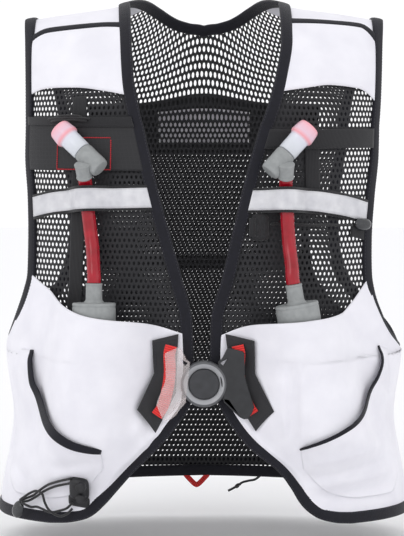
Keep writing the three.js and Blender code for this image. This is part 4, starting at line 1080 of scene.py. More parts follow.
def back_pocket():
    """The second net over the back, its side tapes, the bands and the plain patch in its window."""
    low, high = 4 - BAND_FOOT, 4 - POCKET_FOOT

    def inside(angle, travel):
        return (travel > low - 0.01) & (travel < high) & (np.abs(angle) < pocket_limit(travel))

    off = WALL + BACK_GAP + 0.5
    shift = (0.8, CELL_RISE * 0.6)
    net("pocket_net", inside, [], (low - 0.02, high), off, ["back_pocket"], 0.85, shift)

    for side in SIDES:
        travel = np.linspace(4 - POCKET_TOP, high, 200)
        path = on_path(signed(side, pocket_limit(travel)), travel, off - 0.8, 5)
        strip("pocket_side_tape_" + side, path, pillow(9, 0, 1.8, 12), BINDING, "binding_navy")
    angle = np.linspace(-1, 1, 120) * float(pocket_limit(high))
    path = on_path(angle, np.full(120, high), off - 0.8, 5)
    strip("pocket_foot_tape", path, pillow(9, 0, 1.8, 12), BINDING, "binding_navy")

    travel_rows = 4 - np.concatenate([
        np.linspace(BAND_FOOT, WINDOW["low"], 4),
        np.linspace(WINDOW["low"], WINDOW["high"], 9)[1:],
        np.linspace(WINDOW["high"], POCKET_TOP, 6)[1:],
    ])
    window_angle = float(angle_at(WINDOW["half_share"], 3.0))
    limit = float(pocket_limit(3.0))
    side_columns = np.linspace(window_angle / limit, 1, 18)
    window_columns = np.linspace(-1, 1, 25)[1:-1] * window_angle / limit
    columns = np.concatenate([-side_columns[::-1], window_columns, side_columns])
    across, travel = np.meshgrid(columns, travel_rows)
    angle = across * pocket_limit(travel)
    middle = (np.abs(across[:-1, :-1] + across[1:, 1:]) / 2 < window_angle / limit)
    rows = (4 - (travel[:-1, :-1] + travel[1:, 1:]) / 2)
    keep = ~(middle & (rows > WINDOW["low"]) & (rows < WINDOW["high"]))
    base = np.full(angle.shape, float(SECOND))
    points, faces, uv = shell(place(angle, travel, base + WALL), place(angle, travel, base), keep)
    put("pocket_top_band", points, faces, WEBBING, "webbing_black", ["pocket_top_band"], uv)

    def patch(a, b):
        travel = 4 - mix(WINDOW["low"], WINDOW["high"], b)
        return (2 * a - 1) * window_angle * 0.995 * pocket_limit(travel) / limit, travel

    cloth("window_patch", patch, 24, 10, SECOND - 0.2, 1.0, PATCH, "patch_light", ["back_patch"])

    def low_band(a, b):
        travel = 4 - mix(*LOW_BAND, b)
        return (2 * a - 1) * pocket_limit(travel), travel

    name = "pocket_low_band"
    cloth(name, low_band, 60, 5, off + 0.6, WALL, WEBBING, "webbing_black", [name])


# White cloth.
def bound(a, reach=0.07):
    """How far a sheet lies free of the bindings at its two sides: 0 at them, 1 past a reach."""
    return ease(a, 0, reach) * (1 - ease(a, 1 - reach, 1))


def shoulders():
    """The yoke on the chest, the panel over the shoulder and the piping between them."""
    top = 4 - NECK["level"][4] - 0.004
    for side in SIDES:
        def yoke(a, b):
            low, high = line_level("yoke" + side, a), line_level("piping" + side, a)
            return panel_spot(side, a, mix(low, high, b))

        def yoke_off(a, b, angle, travel):
            rise = bound(a, 0.09) * (1 - ease(b, 0.8, 1) * 0.6)
            return 1.4 + (SECOND - 1.4) * rise + 0.5 * slackness(skin(angle, travel))

        piece = cloth("yoke_" + side, yoke, 30, 22, yoke_off, 0.8, WHITE, "fabric_white", ["yoke_" + side])

        def shoulder(a, b):
            return panel_spot(side, a, mix(line_level("piping" + side, a), top, b))

        def shoulder_off(a, b, angle, travel):
            return 0.3 + 0.4 * slackness(skin(angle, travel)) * bound(a)

        name = "shoulder_" + side
        piece = cloth(name, shoulder, 30, 36, shoulder_off, 0.9, WHITE, "fabric_white", [name])

        share = np.linspace(0, 1, 80)
        path = on_path(*panel_spot(side, share, line_level("piping" + side, share)), 0, 3)
        name = "shoulder_piping_" + side
        strip(name, path, pillow(9, 0, 3.6), BINDING, "binding_navy", [name])


def pocket_surface(side, angle, travel):
    """The lower pocket's height with its folds and its slack."""
    base = skin(angle, travel)
    return pocket_off(side, angle, travel) + folds(side, base) + 0.6 * slackness(base)


MOUTH = {
    "along": [0, 0.12, 0.24, 0.36, 0.52, 0.7, 0.84, 1],
    "share_R": [0.847, 0.845, 0.84, 0.81, 0.746, 0.655, 0.57, 0.475],
    "level_R": [0.425, 0.375, 0.345, 0.315, 0.271, 0.222, 0.194, 0.181],
    "share_L": [0.858, 0.86, 0.85, 0.815, 0.72, 0.62, 0.53, 0.455],
    "level_L": [0.435, 0.39, 0.365, 0.332, 0.283, 0.242, 0.208, 0.187],
}
PATCH_FOOT = {
    "along": [0, 0.2, 0.42, 0.55, 0.7, 0.85, 1],
    "share": [0.9, 0.95, 0.96, 0.9, 0.75, 0.6, 0.475],
    "level": [0.425, 0.28, 0.12, 0.05, 0.05, 0.07, 0.135],
}


def mouth_spot(side, along):
    level = curve(MOUTH["along"], MOUTH["level_" + side], along)
    share = curve(MOUTH["along"], MOUTH["share_" + side], along)
    return angle_at(SIDES[side] * share, level), level


def foot_spot(side, along):
    level = curve(PATCH_FOOT["along"], PATCH_FOOT["level"], along)
    share = curve(PATCH_FOOT["along"], PATCH_FOOT["share"], along)
    return angle_at(SIDES[side] * share, level), level


def lower_pockets():
    """The white lower panels over the flasks, and the open pocket on each with its dark mouth."""
    for side in SIDES:
        def body(a, b):
            return panel_spot(side, a, b * line_level("pocket" + side, a))

        def body_off(a, b, angle, travel):
            free = ease(a, 0, 0.05) * ease(b, 0, 0.06)
            return mix(1.5, pocket_surface(side, angle, travel), free)

        name = "lower_pocket_" + side
        piece = cloth(name, body, 110, 84, body_off, 0.9, WHITE, "fabric_white", [name])

        def between(a, b):
            start, end = mouth_spot(side, a), foot_spot(side, a)
            return mix(start[0], end[0], b), mix(start[1], end[1], b)

        def patch_off(a, b, angle, travel):
            lift = WALL + PATCH_GAP * (1 - 0.8 * ease(b, 0.35, 1))
            gape = 3.2 * np.exp(-((b / 0.16) ** 2)) * np.sin(np.pi * np.clip(a, 0, 1))
            sewn = ease(a, 0, 0.06) * (1 - ease(a, 0.94, 1))
            return pocket_surface(side, angle, travel) + mix(WALL, lift, sewn) + gape

        name = "pocket_patch_" + side
        piece = cloth(name, between, 80, 60, patch_off, 0.9, WHITE, "fabric_white", [name])

        along = np.linspace(0, 1, 120)
        angle, level = mouth_spot(side, along)
        rim = patch_off(along, np.zeros(120), angle, level)
        path = on_path(angle, level, rim, 3)
        wide = {"R": 10, "L": 4.6}[side]
        count = len(path[0])
        swell = (0.45 + 0.55 * np.sin(np.pi * np.linspace(0, 1, count)) ** 0.6)[:, None, None]
        profile = pillow(1, -0.4, 1.4, 14) * np.concatenate([swell * wide, np.ones_like(swell)], -1)
        trim = "patch_trim_" + side
        strip(trim, path, profile, BINDING, "binding_navy", [trim])


# Chest.
TUBE = {
    "level": [0.607, 0.64, 0.69, 0.745, 0.785, 0.83, 0.852, 0.866],
    "R": [0.522, 0.529, 0.549, 0.571, 0.583, 0.592, 0.593, 0.591],
    "L": [0.426, 0.424, 0.423, 0.42, 0.418, 0.415, 0.411, 0.408],
    "lift": [1, 0.88, 0.4, 0.2, 0.17, 0.17, 0.36, 0.6],
}
TUBE_RADIUS = 6.7
CAP_RADIUS = 21
BAND_WIDTH, BAND_SPAN, TAPE_WIDTH, WEBBING_WIDTH = 24, 26, 19, 19
CHEST_PANEL_FOOT = 0.885


def tube_off(level):
    """The tube's height: on the panel where its lift is 0 and on the flask's axis where it is 1."""
    low, high = WALL + GAP + TUBE_RADIUS, WALL + LAYER + CAP_RADIUS
    return mix(low, high, curve(TUBE["level"], TUBE["lift"], level))


def band_off(side, angle, travel):
    """The chest band's height, which rises over the tube as (1 - d^2)^2."""
    under = angle_at(SIDES[side] * curve(TUBE["level"], TUBE[side], travel), travel)
    away = np.linalg.norm(skin(angle, travel) - skin(under, travel), axis=-1) / BAND_SPAN
    rise = tube_off(travel) + TUBE_RADIUS + 9 * GAP - SECOND
    return SECOND + rise * np.maximum(0, 1 - away**2) ** 2


def across_spot(side, line, width, shift=0.0, low=0.0, high=1.0):
    """Spots of a strip about a named line across a front panel."""
    half = width / 2 / BODY_LENGTH

    def spot(a, b):
        share = mix(low, high, a)
        return panel_spot(side, share, line_level(line, share) + shift / BODY_LENGTH + mix(-half, half, b))
    return spot


def chest():
    for side in SIDES:
        def over(a, b, angle, travel):
            return band_off(side, angle, travel)

        def on_band(a, b, angle, travel):
            return band_off(side, angle, travel) + WALL + 0.2

        spot = across_spot(side, "band" + side, BAND_WIDTH, 0, 0.03, 0.97)
        name = "chest_band_" + side
        cloth(name, spot, 60, 6, over, WALL, WEBBING, "webbing_black", [name])
        spot = across_spot(side, "band" + side, TAPE_WIDTH, 0, 0.035, 0.965)
        name = "reflective_tape_" + side
        cloth(name, spot, 60, 6, on_band, 0.5, TAPE, "tape_silver", [name])

    def panel(a, b):
        a = mix(0.03, 0.98, a)
        top = line_level("chestR", a) + WEBBING_WIDTH / 2 / BODY_LENGTH
        return panel_spot("R", a, mix(CHEST_PANEL_FOOT, top, b))

    cloth("chest_panel_R", panel, 40, 20, SECOND, WALL, RIPSTOP, "ripstop_black", ["chest_panel_R"])
    spot = across_spot("R", "chestR", WEBBING_WIDTH, 0, 0.03, 0.98)
    cloth("chest_webbing_R", spot, 40, 6, THIRD - 1.2, WALL, WEBBING, "webbing_black", ["chest_webbing_R"])
    spot = across_spot("L", "chestL", WEBBING_WIDTH, 0, 0.04, 0.97)
    cloth("chest_webbing_L", spot, 40, 6, SECOND, WALL, WEBBING, "webbing_black", ["chest_webbing_L"])


# Drink units.
FLASK = {
    "up": [0, 0.03, 0.1, 0.25, 0.5, 0.8, 0.93, 1],
    "width": [0.3, 0.5, 0.78, 1, 1, 0.97, 0.8, 0.56],
    "depth": [0.1, 0.2, 0.45, 0.85, 1, 1, 1, 1],
    "off": [0.12, 0.19, 0.42, 0.72, 0.84, 0.92, 0.97, 1],
}
FLASK_HALF_WIDTH, FLASK_HALF_DEPTH = 32, 16
SPOUT_TOP = {"level": 0.605, "R": 0.522, "L": 0.426}
CAP_HEIGHT, SPOUT_RADIUS, SPOUT_HEIGHT = 21, 8, 19
TUBE_LEAD = 7
VALVE = {
    "R": {"base": (0.514, 0.886), "tip": (0.741, 0.997)},
    "L": {"base": (0.325, 0.877), "tip": (0.533, 0.993)},
}
VALVE_RADIUS, VALVE_LENGTH, STEM_RADIUS, STEM_LENGTH = 10, 26, 7.4, 15
BITE_LENGTH = 35


def point_at(side, share, level, off):
    return place(angle_at(SIDES[side] * share, level), level, off)


def drink_unit(side):
    """Flask, cap, tube, valve body and bite valve, on the same axes as their solids."""
    low, high = FLASK_AXIS["level"]
    up = np.linspace(0, 1, 60)
    level = mix(low, high, up)
    flask_off = WALL + LAYER + CAP_RADIUS
    off = curve(FLASK["up"], FLASK["off"], up) * flask_off
    angle = flask_angle(side, level)
    spine = place(angle, level, off)
    neck = spine[-1]
    spout_top = point_at(side, SPOUT_TOP[side], SPOUT_TOP["level"], flask_off)
    axis = unit(spout_top - neck)
    at, along, across, out = frames_along(spine, outward(angle, level))
    width = curve(FLASK["up"], FLASK["width"], up) * FLASK_HALF_WIDTH
    depth = curve(FLASK["up"], FLASK["depth"], up) * FLASK_HALF_DEPTH
    turn = np.linspace(0, 2 * np.pi, 40, endpoint=False)
    crumple = 1 + 0.03 * np.sin(5 * turn[None] + 14 * up[:, None]) * np.sin(3 * np.pi * up[:, None])
    flask_x = width[:, None] * np.cos(turn) * crumple
    flask_y = depth[:, None] * np.sin(turn) * crumple
    profile = np.stack([flask_x, flask_y], -1)
    strip("flask_" + side, (at, along, across, out), profile, FILM, "flask_clear", ["flask_" + side])

    seat = neck + axis * LAYER
    cap_top = seat + axis * CAP_HEIGHT
    end = cap_top + axis * SPOUT_HEIGHT
    r, h = CAP_RADIUS, CAP_HEIGHT
    cap = lathe(seat, end, [
        (r * 0.9, 0), (r * 0.97, 0.3), (r, 1.2), (r, h * 0.78), (r * 0.985, h * 0.8), (r * 0.985, h * 0.84),
        (r, h * 0.86), (r, h * 0.94), (r * 0.97, h * 0.99), (r * 0.9, h), (r * 0.5, h),
    ], 72)
    s = SPOUT_RADIUS
    spout = lathe(cap_top - axis * 0.5, end, [
        (s * 1.25, 0), (s * 1.22, 1.4), (s * 1.06, 2.6), (s, 4), (s * 0.98, SPOUT_HEIGHT * 0.9),
        (s * 1.03, SPOUT_HEIGHT * 0.92), (s * 1.03, SPOUT_HEIGHT), (s * 0.9, SPOUT_HEIGHT + 0.4),
    ], 48)
    points, sets, uvs = joined(cap, spout)
    put("flask_cap_" + side, points, sets, GREY_PLASTIC, "cap_grey", ["flask_cap_" + side], uvs, sharp=38)

    levels = np.array(TUBE["level"][1:])
    shares = np.array(TUBE[side][1:])
    route = place(angle_at(SIDES[side] * shares, levels), levels, tube_off(levels))
    route = np.vstack([end + axis * GAP, end + axis * TUBE_LEAD, route])
    path = smooth_path(route, 12)
    points, sets, uvs = tube(path, TUBE_RADIUS, 28)
    put("drink_tube_" + side, points, sets, RED_TUBE, "tube_red", ["drink_tube_" + side], uvs)

    top = TUBE["level"][-1]
    off = float(tube_off(top))
    base = point_at(side, *VALVE[side]["base"], off)
    slant = unit(point_at(side, *VALVE[side]["tip"], off) - base)
    mouth = base + slant * VALVE_LENGTH
    v = VALVE_RADIUS
    barrel = lathe(base, mouth, [
        (v * 0.5, 0), (v * 0.8, 0.1), (v * 0.9, 0.5), (v * 0.96, 1.6), (v, 4), (v, VALVE_LENGTH * 0.9),
        (v * 0.95, VALVE_LENGTH - 0.4), (v * 0.8, VALVE_LENGTH),
    ], 56)
    foot = path[-1]
    up_tube = unit(path[-1] - path[-3])
    t = STEM_RADIUS
    stem = lathe(foot - up_tube * 0.6, foot + up_tube * STEM_LENGTH, [
        (t * 1.02, 0), (t * 1.06, 0.5), (t * 1.06, 1.6), (t * 0.99, 2.2), (t * 1.02, STEM_LENGTH * 0.7),
        (t * 1.1, STEM_LENGTH), (t * 0.6, STEM_LENGTH + 1),
    ], 48)
    mark_centre = base + slant * VALVE_LENGTH * 0.42 + np.array([0, -1.0, 0]) * (v - 0.1)
    turns = np.linspace(0, 2 * np.pi, 40)
    mark_path = mark_centre + 2.6 * (np.cos(turns)[:, None] * slant
                                     + np.sin(turns)[:, None] * unit(np.cross(slant, [0, -1.0, 0])))
    mark = tube(mark_path[:-6], 0.35, 6)
    points, sets, uvs = joined(barrel, stem, mark)
    put("valve_body_" + side, points, sets, GREY_PLASTIC, "cap_grey", ["valve_body_" + side], uvs, sharp=38)

    start = mouth + slant * GAP
    length = BITE_LENGTH
    bite = lathe(start, start + slant * length, [
        (8.4, 0), (9.5, 0.3), (9.8, 1.2), (9.9, length * 0.3), (10, length * 0.52), (10.4, length * 0.545),
        (11.9, length * 0.6), (12.2, length * 0.64), (12.0, length * 0.7), (11.2, length * 0.88),
        (10.7, length * 0.95), (9.9, length * 0.99), (8.2, length), (7.6, length * 0.97),
        (2.5, length * 0.95),
    ], 56)
    put("bite_valve_" + side, *bite[:2], SILICONE, "bite_pink", ["bite_valve_" + side], bite[2], sharp=60)


# The buckle.
DIAL_LEVEL = 0.354
RING_RADIUS, BUTTON_RADIUS, RING_HEIGHT = 22.5, 14.6, 9
PLATE = {
    "R": [(0.125, 0.478), (0.25, 0.462), (0.244, 0.379), (0.325, 0.29), (0.245, 0.228), (0.14, 0.33)],
    "L": [(0.105, 0.478), (0.24, 0.462), (0.247, 0.379), (0.34, 0.285), (0.262, 0.232), (0.14, 0.33)],
}
ARM_THICK = 3
# Outline of each arm and of its two windows, out from the dial's middle and up, in millimetres.
ARM = {
    "R": [(13.4, 21.6), (16.7, 24), (19, 28.8), (21.4, 33.7), (25.1, 35.9), (37.4, 30.4), (37.8, 27.2),
          (37, 15.3), (37, 5.6), (38.3, 0.8), (45.5, -16.9), (45.8, -20.1), (40.2, -34), (37.4, -35.4),
          (31.8, -33.8), (27, -29.8), (23.1, -24.1), (17.5, -17.7)],
    "L": [(13.4, 21.6), (17.4, 25.2), (21.7, 33.7), (24.4, 35.2), (37, 32), (38.9, 30.4), (39.2, 20),
          (39.5, 7.2), (42.6, -4.1), (48.5, -21.8), (46.5, -28), (42.6, -33.4), (38.5, -34), (34.5, -32.1),
          (29.2, -27.3), (24, -22), (19.3, -17.6)],
}
ARM_WINDOWS = {
    "upper": [(22.5, 24.6), (15.6, 20.8), (18.4, 18)],
    "lower": [(19.6, -15), (23.8, -15.9), (29.4, -24.4)],
}
RED_PATH = {
    "R": [(31.5, 37.4), (33.3, 30), (33, 12), (35, -4), (40, -22), (45.6, -30.6)],
    "L": [(32.4, 37.4), (34, 30), (33.5, 12), (36, -4), (43, -22), (47.6, -29.3)],
}


def back_face(node):
    """The rearmost y of a solid, in millimetres."""
    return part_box(node)[1][1] / MM


def outline_solid(outline, holes, y, thick, sign, z, bevel):
    """A flat plate from an outline with windows, filled and given its thickness, with soft edges."""
    curve_data = bpy.data.curves.new("outline", "CURVE")
    curve_data.dimensions = "2D"
    curve_data.fill_mode = "BOTH"
    for ring_points in [outline, *holes]:
        spline = curve_data.splines.new("POLY")
        spline.points.add(len(ring_points) - 1)
        for point, (x, up) in zip(spline.points, ring_points):
            point.co = (sign * x * MM, up * MM, 0, 1)
        spline.use_cyclic_u = True
    curve_data.extrude = (thick / 2 - bevel) * MM
    curve_data.bevel_depth = bevel * MM
    curve_data.bevel_resolution = 2
    curve_data.offset = -bevel * MM
    source = bpy.data.objects.new("outline", curve_data)
    bpy.context.scene.collection.objects.link(source)
    bpy.context.view_layer.update()
    mesh = bpy.data.meshes.new_from_object(source.evaluated_get(bpy.context.evaluated_depsgraph_get()))
    bpy.data.objects.remove(source)
    count = len(mesh.vertices)
    flat = np.empty(count * 3, np.float32)
    mesh.vertices.foreach_get("co", flat)
    flat = flat.reshape(-1, 3)
    points = np.stack([flat[:, 0], y * MM - flat[:, 2] - thick / 2 * MM, z * MM + flat[:, 1]], -1)
    mesh.vertices.foreach_set("co", points.reshape(-1).astype(np.float32))
    return mesh


def put_mesh(name, mesh, finish, nodes=(), smooth_angle=35):
    """Puts a finished mesh, its seams merged and its faces outward, on the vest."""
    work = bmesh.new()
    work.from_mesh(mesh)
    bmesh.ops.remove_doubles(work, verts=work.verts, dist=1e-6)
    bmesh.ops.recalc_face_normals(work, faces=work.faces)
    work.to_mesh(mesh)
    work.free()
    mesh.name = name
    mesh.materials.clear()
    mesh.materials.append(finish)
    mesh.polygons.foreach_set("use_smooth", np.full(len(mesh.polygons), True))
    mesh.set_sharp_from_angle(angle=math.radians(smooth_angle))
    piece = bpy.data.objects.new(name, mesh)
    bpy.context.scene.collection.objects.link(piece)
    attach(piece, "root")
    if nodes:
        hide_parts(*nodes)
    return piece


def buckle():
    """Sewn plates on the pockets, an arm on each, red webbing through them, and the dial."""
    dial_z = skin(0.0, DIAL_LEVEL)[2]
    threads = []
    for side, sign in SIDES.items():
        a, b, c, d, e, f = (np.array(p) for p in PLATE[side])

        def inner(v):
            v = v[..., None]
            return np.where(v < 0.5, mix(a, f, v * 2), mix(f, e, v * 2 - 1))

        def outer(v):
            v = v[..., None]
            return np.where(v < 0.4, mix(b, c, v / 0.4), mix(c, d, (v - 0.4) / 0.6))

        def spot(u, v):
            share_level = mix(inner(v), outer(v), u[..., None])
            return angle_at(sign * share_level[..., 0], share_level[..., 1]), share_level[..., 1]

        def plate_off(u, v, angle, travel):
            return pocket_off(side, angle, travel) + WALL + PLATE_GAP - 0.6

        name = "buckle_plate_" + side
        cloth(name, spot, 20, 40, plate_off, PLATE_THICK, PLATE_CLOTH, "plastic_black", [name], sharp=40)
        v = np.linspace(0.03, 0.97, 200)
        for u in (0.1, 0.9):
            angle, level = spot(np.full(200, u), v)
            path = on_path(angle, level, pocket_off(side, angle, level) + WALL + PLATE_GAP + 1.5, 3)
            threads.append(stitches(path, 0, 0, pitch=3.0, radius=0.4))
        for v_line in (0.04, 0.96):
            u = np.linspace(0.12, 0.88, 40)
            angle, level = spot(u, np.full(40, v_line))
            path = on_path(angle, level, pocket_off(side, angle, level) + WALL + PLATE_GAP + 1.5, 3)
            threads.append(stitches(path, 0, 0, pitch=3.0, radius=0.4))

        windows = list(ARM_WINDOWS.values())
        arm_face = back_face("buckle_arm_" + side)
        mesh = outline_solid(ARM[side], windows, arm_face, ARM_THICK, sign, dial_z, 0.8)
        finish, slot = (CLOUDED, "plastic_clear") if side == "R" else (DARK_PLASTIC, "plastic_dark")
        put_mesh("buckle_arm_" + side, mesh, finish, ["buckle_arm_" + side])

        route = np.array(RED_PATH[side], float)
        behind = back_face("red_webbing_" + side) - 0.6
        points = np.stack([sign * route[:, 0], np.full(len(route), behind), dial_z + route[:, 1]], -1)
        path = smooth_path(points, 8)
        out = np.tile([0.0, -1.0, 0.0], (len(path), 1))
        frames = frames_along(path, out)
        name = "red_webbing_" + side
        strip(name, frames, pillow(11.5, -0.6, 0.6, 14), RED_WEBBING, "webbing_red", [name])
    points, sets, uvs = joined(*threads)
    put("plate_stitches", points, sets, THREAD, "plastic_black", corner_uv=uvs)

    centre = np.array([0, back_face("dial_ring"), dial_z])
    forward = np.array([0, -1.0, 0])
    r, h, b = RING_RADIUS, RING_HEIGHT, BUTTON_RADIUS
    ring_shape = lathe(centre, centre + forward * h, [
        (b + 0.6, 0.2), (r * 0.96, 0), (r * 0.995, 0.5), (r, 1.2), (r, h * 0.62), (r * 0.985, h * 0.8),
        (r * 0.95, h * 0.94), (r * 0.9, h), (r * 0.86, h * 0.995), (r * 0.83, h * 0.93),
        (r * 0.72, h * 0.8),
        (b + 1.1, h * 0.74), (b + 0.5, h * 0.72), (b + 0.4, h * 0.5),
    ], 96)
    ring_points, ring_sets, ring_uvs = ring_shape
    count = 96
    last = ring_points.shape[0] - count
    closing = np.stack([np.arange(count), np.roll(np.arange(count), -1),
                        np.roll(np.arange(count), -1) + last, np.arange(count) + last], -1)
    sets = [ring_sets[0], closing]
    turned = [closing[:, ::-1], ring_sets[0]]
    if volume(ring_points, sets) < 0 or volume(ring_points, turned) > volume(ring_points, sets):
        sets = [ring_sets[0], closing[:, ::-1]]
    put("dial_ring", ring_points, sets, RING_PLASTIC, "plastic_clear", ["dial_ring"],
        [ring_uvs[0], np.zeros((count * 4, 2))], sharp=50)
    button = lathe(centre, centre + forward * h, [
        (b * 0.9, 0.1), (b, 0.6), (b, h * 0.82), (b * 0.985, h * 0.9), (b * 0.95, h * 0.94),
        (b * 0.9, h * 0.955),
        (b * 0.5, h * 0.97), (b * 0.1, h * 0.975),
    ], 72)
    put("dial_button", *button[:2], BUTTON_PLASTIC, "plastic_dark", ["dial_button"], button[2], sharp=50)


# Cords and small fittings.
CORD_RADIUS = 1.25
LOCK_CORD_OUTER = [
    (-129, -129, -452), (-141, -119.5, -456), (-153, -108.5, -461.5), (-161, -102, -467.5),
    (-168, -97.5, -473.5), (-176, -93.3, -477.5), (-181.7, -92.3, -479.3), (-176, -97, -474.5),
    (-172, -99, -471.5), (-165, -103, -468.5), (-159, -107.5, -470.5), (-156, -110, -479),
    (-151, -113, -486.5), (-141, -117, -491), (-134, -119.5, -488.5), (-128.5, -121, -483),
]
LOCK_CORD_INNER = [
    (-129, -125.5, -457), (-146, -113, -462.5), (-158, -104, -469), (-165, -99.5, -474.5),
    (-173.5, -95.8, -479.5), (-179.6, -94.6, -481), (-174.5, -98.5, -483.5), (-170, -99.5, -485),
    (-165, -101, -484.5), (-159, -104.5, -486), (-151, -109.5, -488.5), (-141, -114.5, -486),
    (-134, -118, -483), (-128.5, -120, -477.5),
]
CHEST_CORD = [
    (65, -121.5, -205), (71, -117.5, -205), (80, -115.5, -205.5), (91, -113, -206),
    (105, -110.6, -206.5), (121, -106, -206.5), (134, -102, -207), (145, -98.5, -207),
]
HEM_CORD = [
    (62, 114.4, -486.5), (55, 114.8, -492), (48, 114.9, -493.5), (41, 115.2, -495.5),
    (36, 115.5, -499), (31, 115.6, -502), (26, 115.8, -504.5),
]


def elastic(name, points, nodes):
    """A round elastic cord along its chosen points."""
    path = smooth_path(points, 6)
    shape_points, sets, uvs = tube(path, CORD_RADIUS, 12)
    piece = put(name, shape_points, sets, CORD, "cord_black", nodes, uvs)
    return piece


def seat_frame(side, share, level, off_at, turn=0.0):
    """Where a small fitting sits on the cloth: its place, its across, up and outward directions."""
    angle = angle_at(SIDES[side] * share, level)
    nudge = 0.01

    def spot(a, l):
        return place(np.array(a), np.array(l), off_at(np.array(a), np.array(l)))

    out = unit(np.cross(spot(angle + nudge, level) - spot(angle - nudge, level),
                        spot(angle, level + nudge) - spot(angle, level - nudge)))
    across = unit(-np.cross([0, 0, 1.0], out))
    up = unit(-np.cross(out, across))
    turned_across = across * math.cos(turn) + up * math.sin(turn)
    turned_up = up * math.cos(turn) - across * math.sin(turn)
    return spot(angle, level), turned_across, turned_up, out


def pebble(seat, across, up, out, width, height, depth, squareness=2.3, count=28):
    """A rounded form on a seat: stacked superellipses that shrink as a quarter circle to its top."""
    rise = np.sin(np.linspace(0, np.pi / 2, 10))
    lean = np.cos(np.linspace(0, np.pi / 2, 10)) ** 0.55
    lean[-1] = 0.12
    rise, lean = np.concatenate([[0.0], rise * 0.85 + 0.15]), np.concatenate([[0.88], lean])
    turn = np.linspace(0, 2 * np.pi, count, endpoint=False)
    c, s = np.cos(turn), np.sin(turn)
    u = np.sign(c) * np.abs(c) ** (2 / squareness) * width / 2
    v = np.sign(s) * np.abs(s) ** (2 / squareness) * height / 2
    rows = len(rise)
    points = (seat + (lean[:, None] * u)[..., None] * across + (lean[:, None] * v)[..., None] * up
              + (rise[:, None] * depth * np.ones(count))[..., None] * out).reshape(-1, 3)
    faces, corner_j, corner_i = grid(rows, count, False, True)
    ends = np.arange(count)[None]
    sets = [faces, ends[:, ::-1], ends + (rows - 1) * count]
    face_uv = np.stack([corner_i, corner_j], -1).reshape(-1, 2) * 1.0
    uvs = [face_uv, np.zeros((count, 2)), np.zeros((count, 2))]
    if volume(points, sets) < 0:
        sets = [f[:, ::-1] for f in sets]
    return points, sets, uvs


def cords_and_fittings():
    front_seat = lambda a, l: pocket_off("R", a, l) + 2 * WALL + PATCH_GAP + 7 * GAP
    seat, across, up, out = seat_frame("R", 0.572, 0.082, front_seat, 0.15)
    body = pebble(seat - out * 2.2 + across * 3, across, up, out, 20, 25, 9, 4)
    barrels = []
    for share in (-0.27, 0.27):
        middle = seat + up * share * 24 + out * 3.4
        barrels.append(lathe(middle - across * 1.0, middle - across * 1.0 + out * 6.2, [
            (4.6, 0), (4.9, 0.6), (4.9, 4.8), (4.6, 5.6), (3.8, 6.0), (1.0, 6.1)], 32))
    tab = pebble(seat - out * 2.2 + across * 4 - up * 16, across, up, out, 22, 13, 4, 5)
    points, sets, uvs = joined(body, tab, *barrels)
    put("cord_lock_R", points, sets, BLACK_PLASTIC, "plastic_black", ["cord_lock_R"], uvs, sharp=45)

    pull_seat = lambda a, l: front_seat(a, l) + 2 * CORD_RADIUS + GAP
    seat, across, up, out = seat_frame("R", 0.852, 0.012, pull_seat, 0.5)
    pull = pebble(seat, across, up, out, 14, 18, 4.6)
    put("cord_pull_R", *pull[:2], GLOSS_BLACK, "plastic_black", ["cord_pull_R"], pull[2])

    elastic("lock_cord_outer", LOCK_CORD_OUTER, ["lock_cord_outer"])
    elastic("lock_cord_inner", LOCK_CORD_INNER, ["lock_cord_inner"])

    chest_seat = lambda a, l: WALL + GAP + 0 * a
    seat, across, up, out = seat_frame("L", 0.29, 0.745, chest_seat)
    tab = pebble(seat, across, up, out, 17, 27, 4, 5)
    barrel = lathe(seat + across * 8 - up * 9 + out * 2.6, seat + across * 8 + up * 9 + out * 2.6, [
        (2.6, 0), (3.1, 0.5), (3.1, 17.5), (2.6, 18)], 24)
    points, sets, uvs = joined(tab, barrel)
    put("chest_tab_L", points, sets, WEBBING, "webbing_black", ["chest_tab_L"], uvs, sharp=45)
    seat, across, up, out = seat_frame("L", 0.81, 0.747, lambda a, l: BINDING_HIGH + 6 * GAP + 0 * a)
    pull = pebble(seat - out * 1.0, across, up, out, 21, 12.5, 6.2, 2.2)
    put("cord_pull_L", *pull[:2], GLOSS_BLACK, "plastic_black", ["cord_pull_L"], pull[2])
    elastic("chest_cord_L", CHEST_CORD, ["chest_cord_L"])

    knot_at = np.array(HEM_CORD[4], float)
    turns = np.linspace(0, 4 * np.pi, 70)
    wind = knot_at + np.stack([1.6 * np.cos(turns) + (turns - 6.3) * 0.22, 1.9 * np.sin(turns),
                               1.9 * np.cos(turns + 0.8)], -1)
    knot_points, knot_sets, knot_uvs = tube(wind, CORD_RADIUS * 0.95, 10)
    knot = put("hem_knot", knot_points, knot_sets, CORD, "cord_black", corner_uv=knot_uvs)
    elastic("hem_cord", HEM_CORD, ["hem_cord"])
    hem_loop()


def hem_loop():
    """The small red loop under the back hem: a flat tape bent down to a point and back."""
    level = float(back_hem_level(0.0))
    at = skin(0.0, 4 - level)
    top = at[2] - BINDING_WIDTH / 2 + 1.5
    x = -8
    half = [(12, 1.2, 0), (9.5, 1.3, 3), (2.2, 1.4, 10.5)]
    points = [(x - reach, at[1] + off, top - drop) for reach, off, drop in half]
    points += [(x, at[1] + 1.5, top - 11.6)]
    points += [(x + reach, at[1] + off, top - drop) for reach, off, drop in half[::-1]]
    path = smooth_path(points, 8)
    out = np.tile([0.0, 1.0, 0.0], (len(path), 1))
    profile = pillow(5.6, -0.8, 0.8, 12)
    strip("hem_loop", frames_along(path, out), profile, RED_WEBBING, "webbing_red", ["hem_loop"])


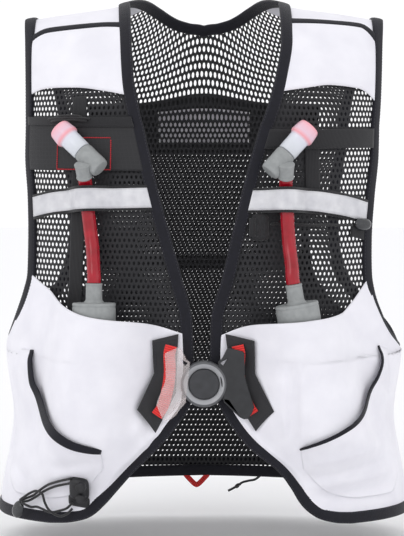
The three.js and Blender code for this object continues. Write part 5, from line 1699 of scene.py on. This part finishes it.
# Details that the solids leave out.
def details():
    """Webbings under the tubes, the plain framed panel, elastic loops, side seams and small bands."""
    for name, side, share, low, high in (
        ("long_webbing_R", "R", 0.655, 0.51, 1.16), ("long_webbing_L", "L", 0.565, 0.82, 1.0),
    ):
        travel = np.linspace(low, high, 160)
        path = on_path(angle_at(SIDES[side] * np.full(160, share), travel), travel, 1.25, 4)
        strip(name, path, pillow(15, 0, 1.2, 14, 5), WEBBING, "webbing_black")

    for side in SIDES:
        travel = np.linspace(0.01, UNDERARM, 100)
        path = on_path(np.full(100, SIDES[side] * np.pi / 2), travel, 0.0, 5)
        strip("side_seam_" + side, path, pillow(8, -0.4, 1.6, 12), BINDING, "binding_navy")

    spot = across_spot("L", "bandL", 12, -21, 0.86, 1.0)
    cloth("small_band_L", spot, 10, 4, SECOND - 0.6, 1.0, WEBBING, "webbing_black")
    frame_height = SECOND + WALL + 0.25
    corners = [(0.485, 0.968), (0.765, 0.968), (0.765, 0.888), (0.485, 0.888), (0.485, 0.968)]
    corners = np.array(corners)
    shares = np.concatenate([mix(corners[k], corners[k + 1], np.linspace(0, 1, 40, endpoint=False)[:, None])
                             for k in range(4)])
    angle = angle_at(-shares[:, 0], shares[:, 1])
    path = on_path(angle, shares[:, 1], frame_height, 1.5, True)
    points, sets, uvs = stitches(path, 0, 0, pitch=1.9, length=1.7, radius=0.6)
    put("panel_frame", points, sets, RED_THREAD, "webbing_red", corner_uv=uvs)

    loops = []
    for rise, reach in ((0, 17), (4.5, 20), (9, 12)):
        turn = np.linspace(0, np.pi, 30)
        share = 0.7 + reach * np.cos(turn) / HALF_WIDTH
        level = 1.022 + (rise + 3.2 * np.sin(turn)) / BODY_LENGTH
        loops.append(tube(place(angle_at(-share, level), level, THIRD + 1.2 + 1.8 * np.sin(turn)), 1.1, 10))
    points, sets, uvs = joined(*loops)
    put("elastic_loops", points, sets, CORD, "cord_black", corner_uv=uvs)


# Stage.
def set_floor():
    """A wide pale floor just under the hem."""
    size = 6000
    corners = np.array([(-size, -size, 0), (size, -size, 0), (size, size, 0), (-size, size, 0)], float)
    mesh = bpy.data.meshes.new("floor")
    mesh.from_pydata((corners * MM + np.array([0, 0, FLOOR_Z])).tolist(), [], [(0, 1, 2, 3)])
    f = Finish("pale_floor", 0xF7F7F8, 0.8)
    mesh.materials.append(f.material)
    floor = bpy.data.objects.new("floor", mesh)
    bpy.context.scene.collection.objects.link(floor)


set_camera()
cords_and_fittings()
set_lights()
set_floor()
bound_edges()
for each_side in SIDES:
    front_net(each_side)
back_net()
back_pocket()
shoulders()
lower_pockets()
chest()
for each_side in SIDES:
    drink_unit(each_side)
buckle()
details()
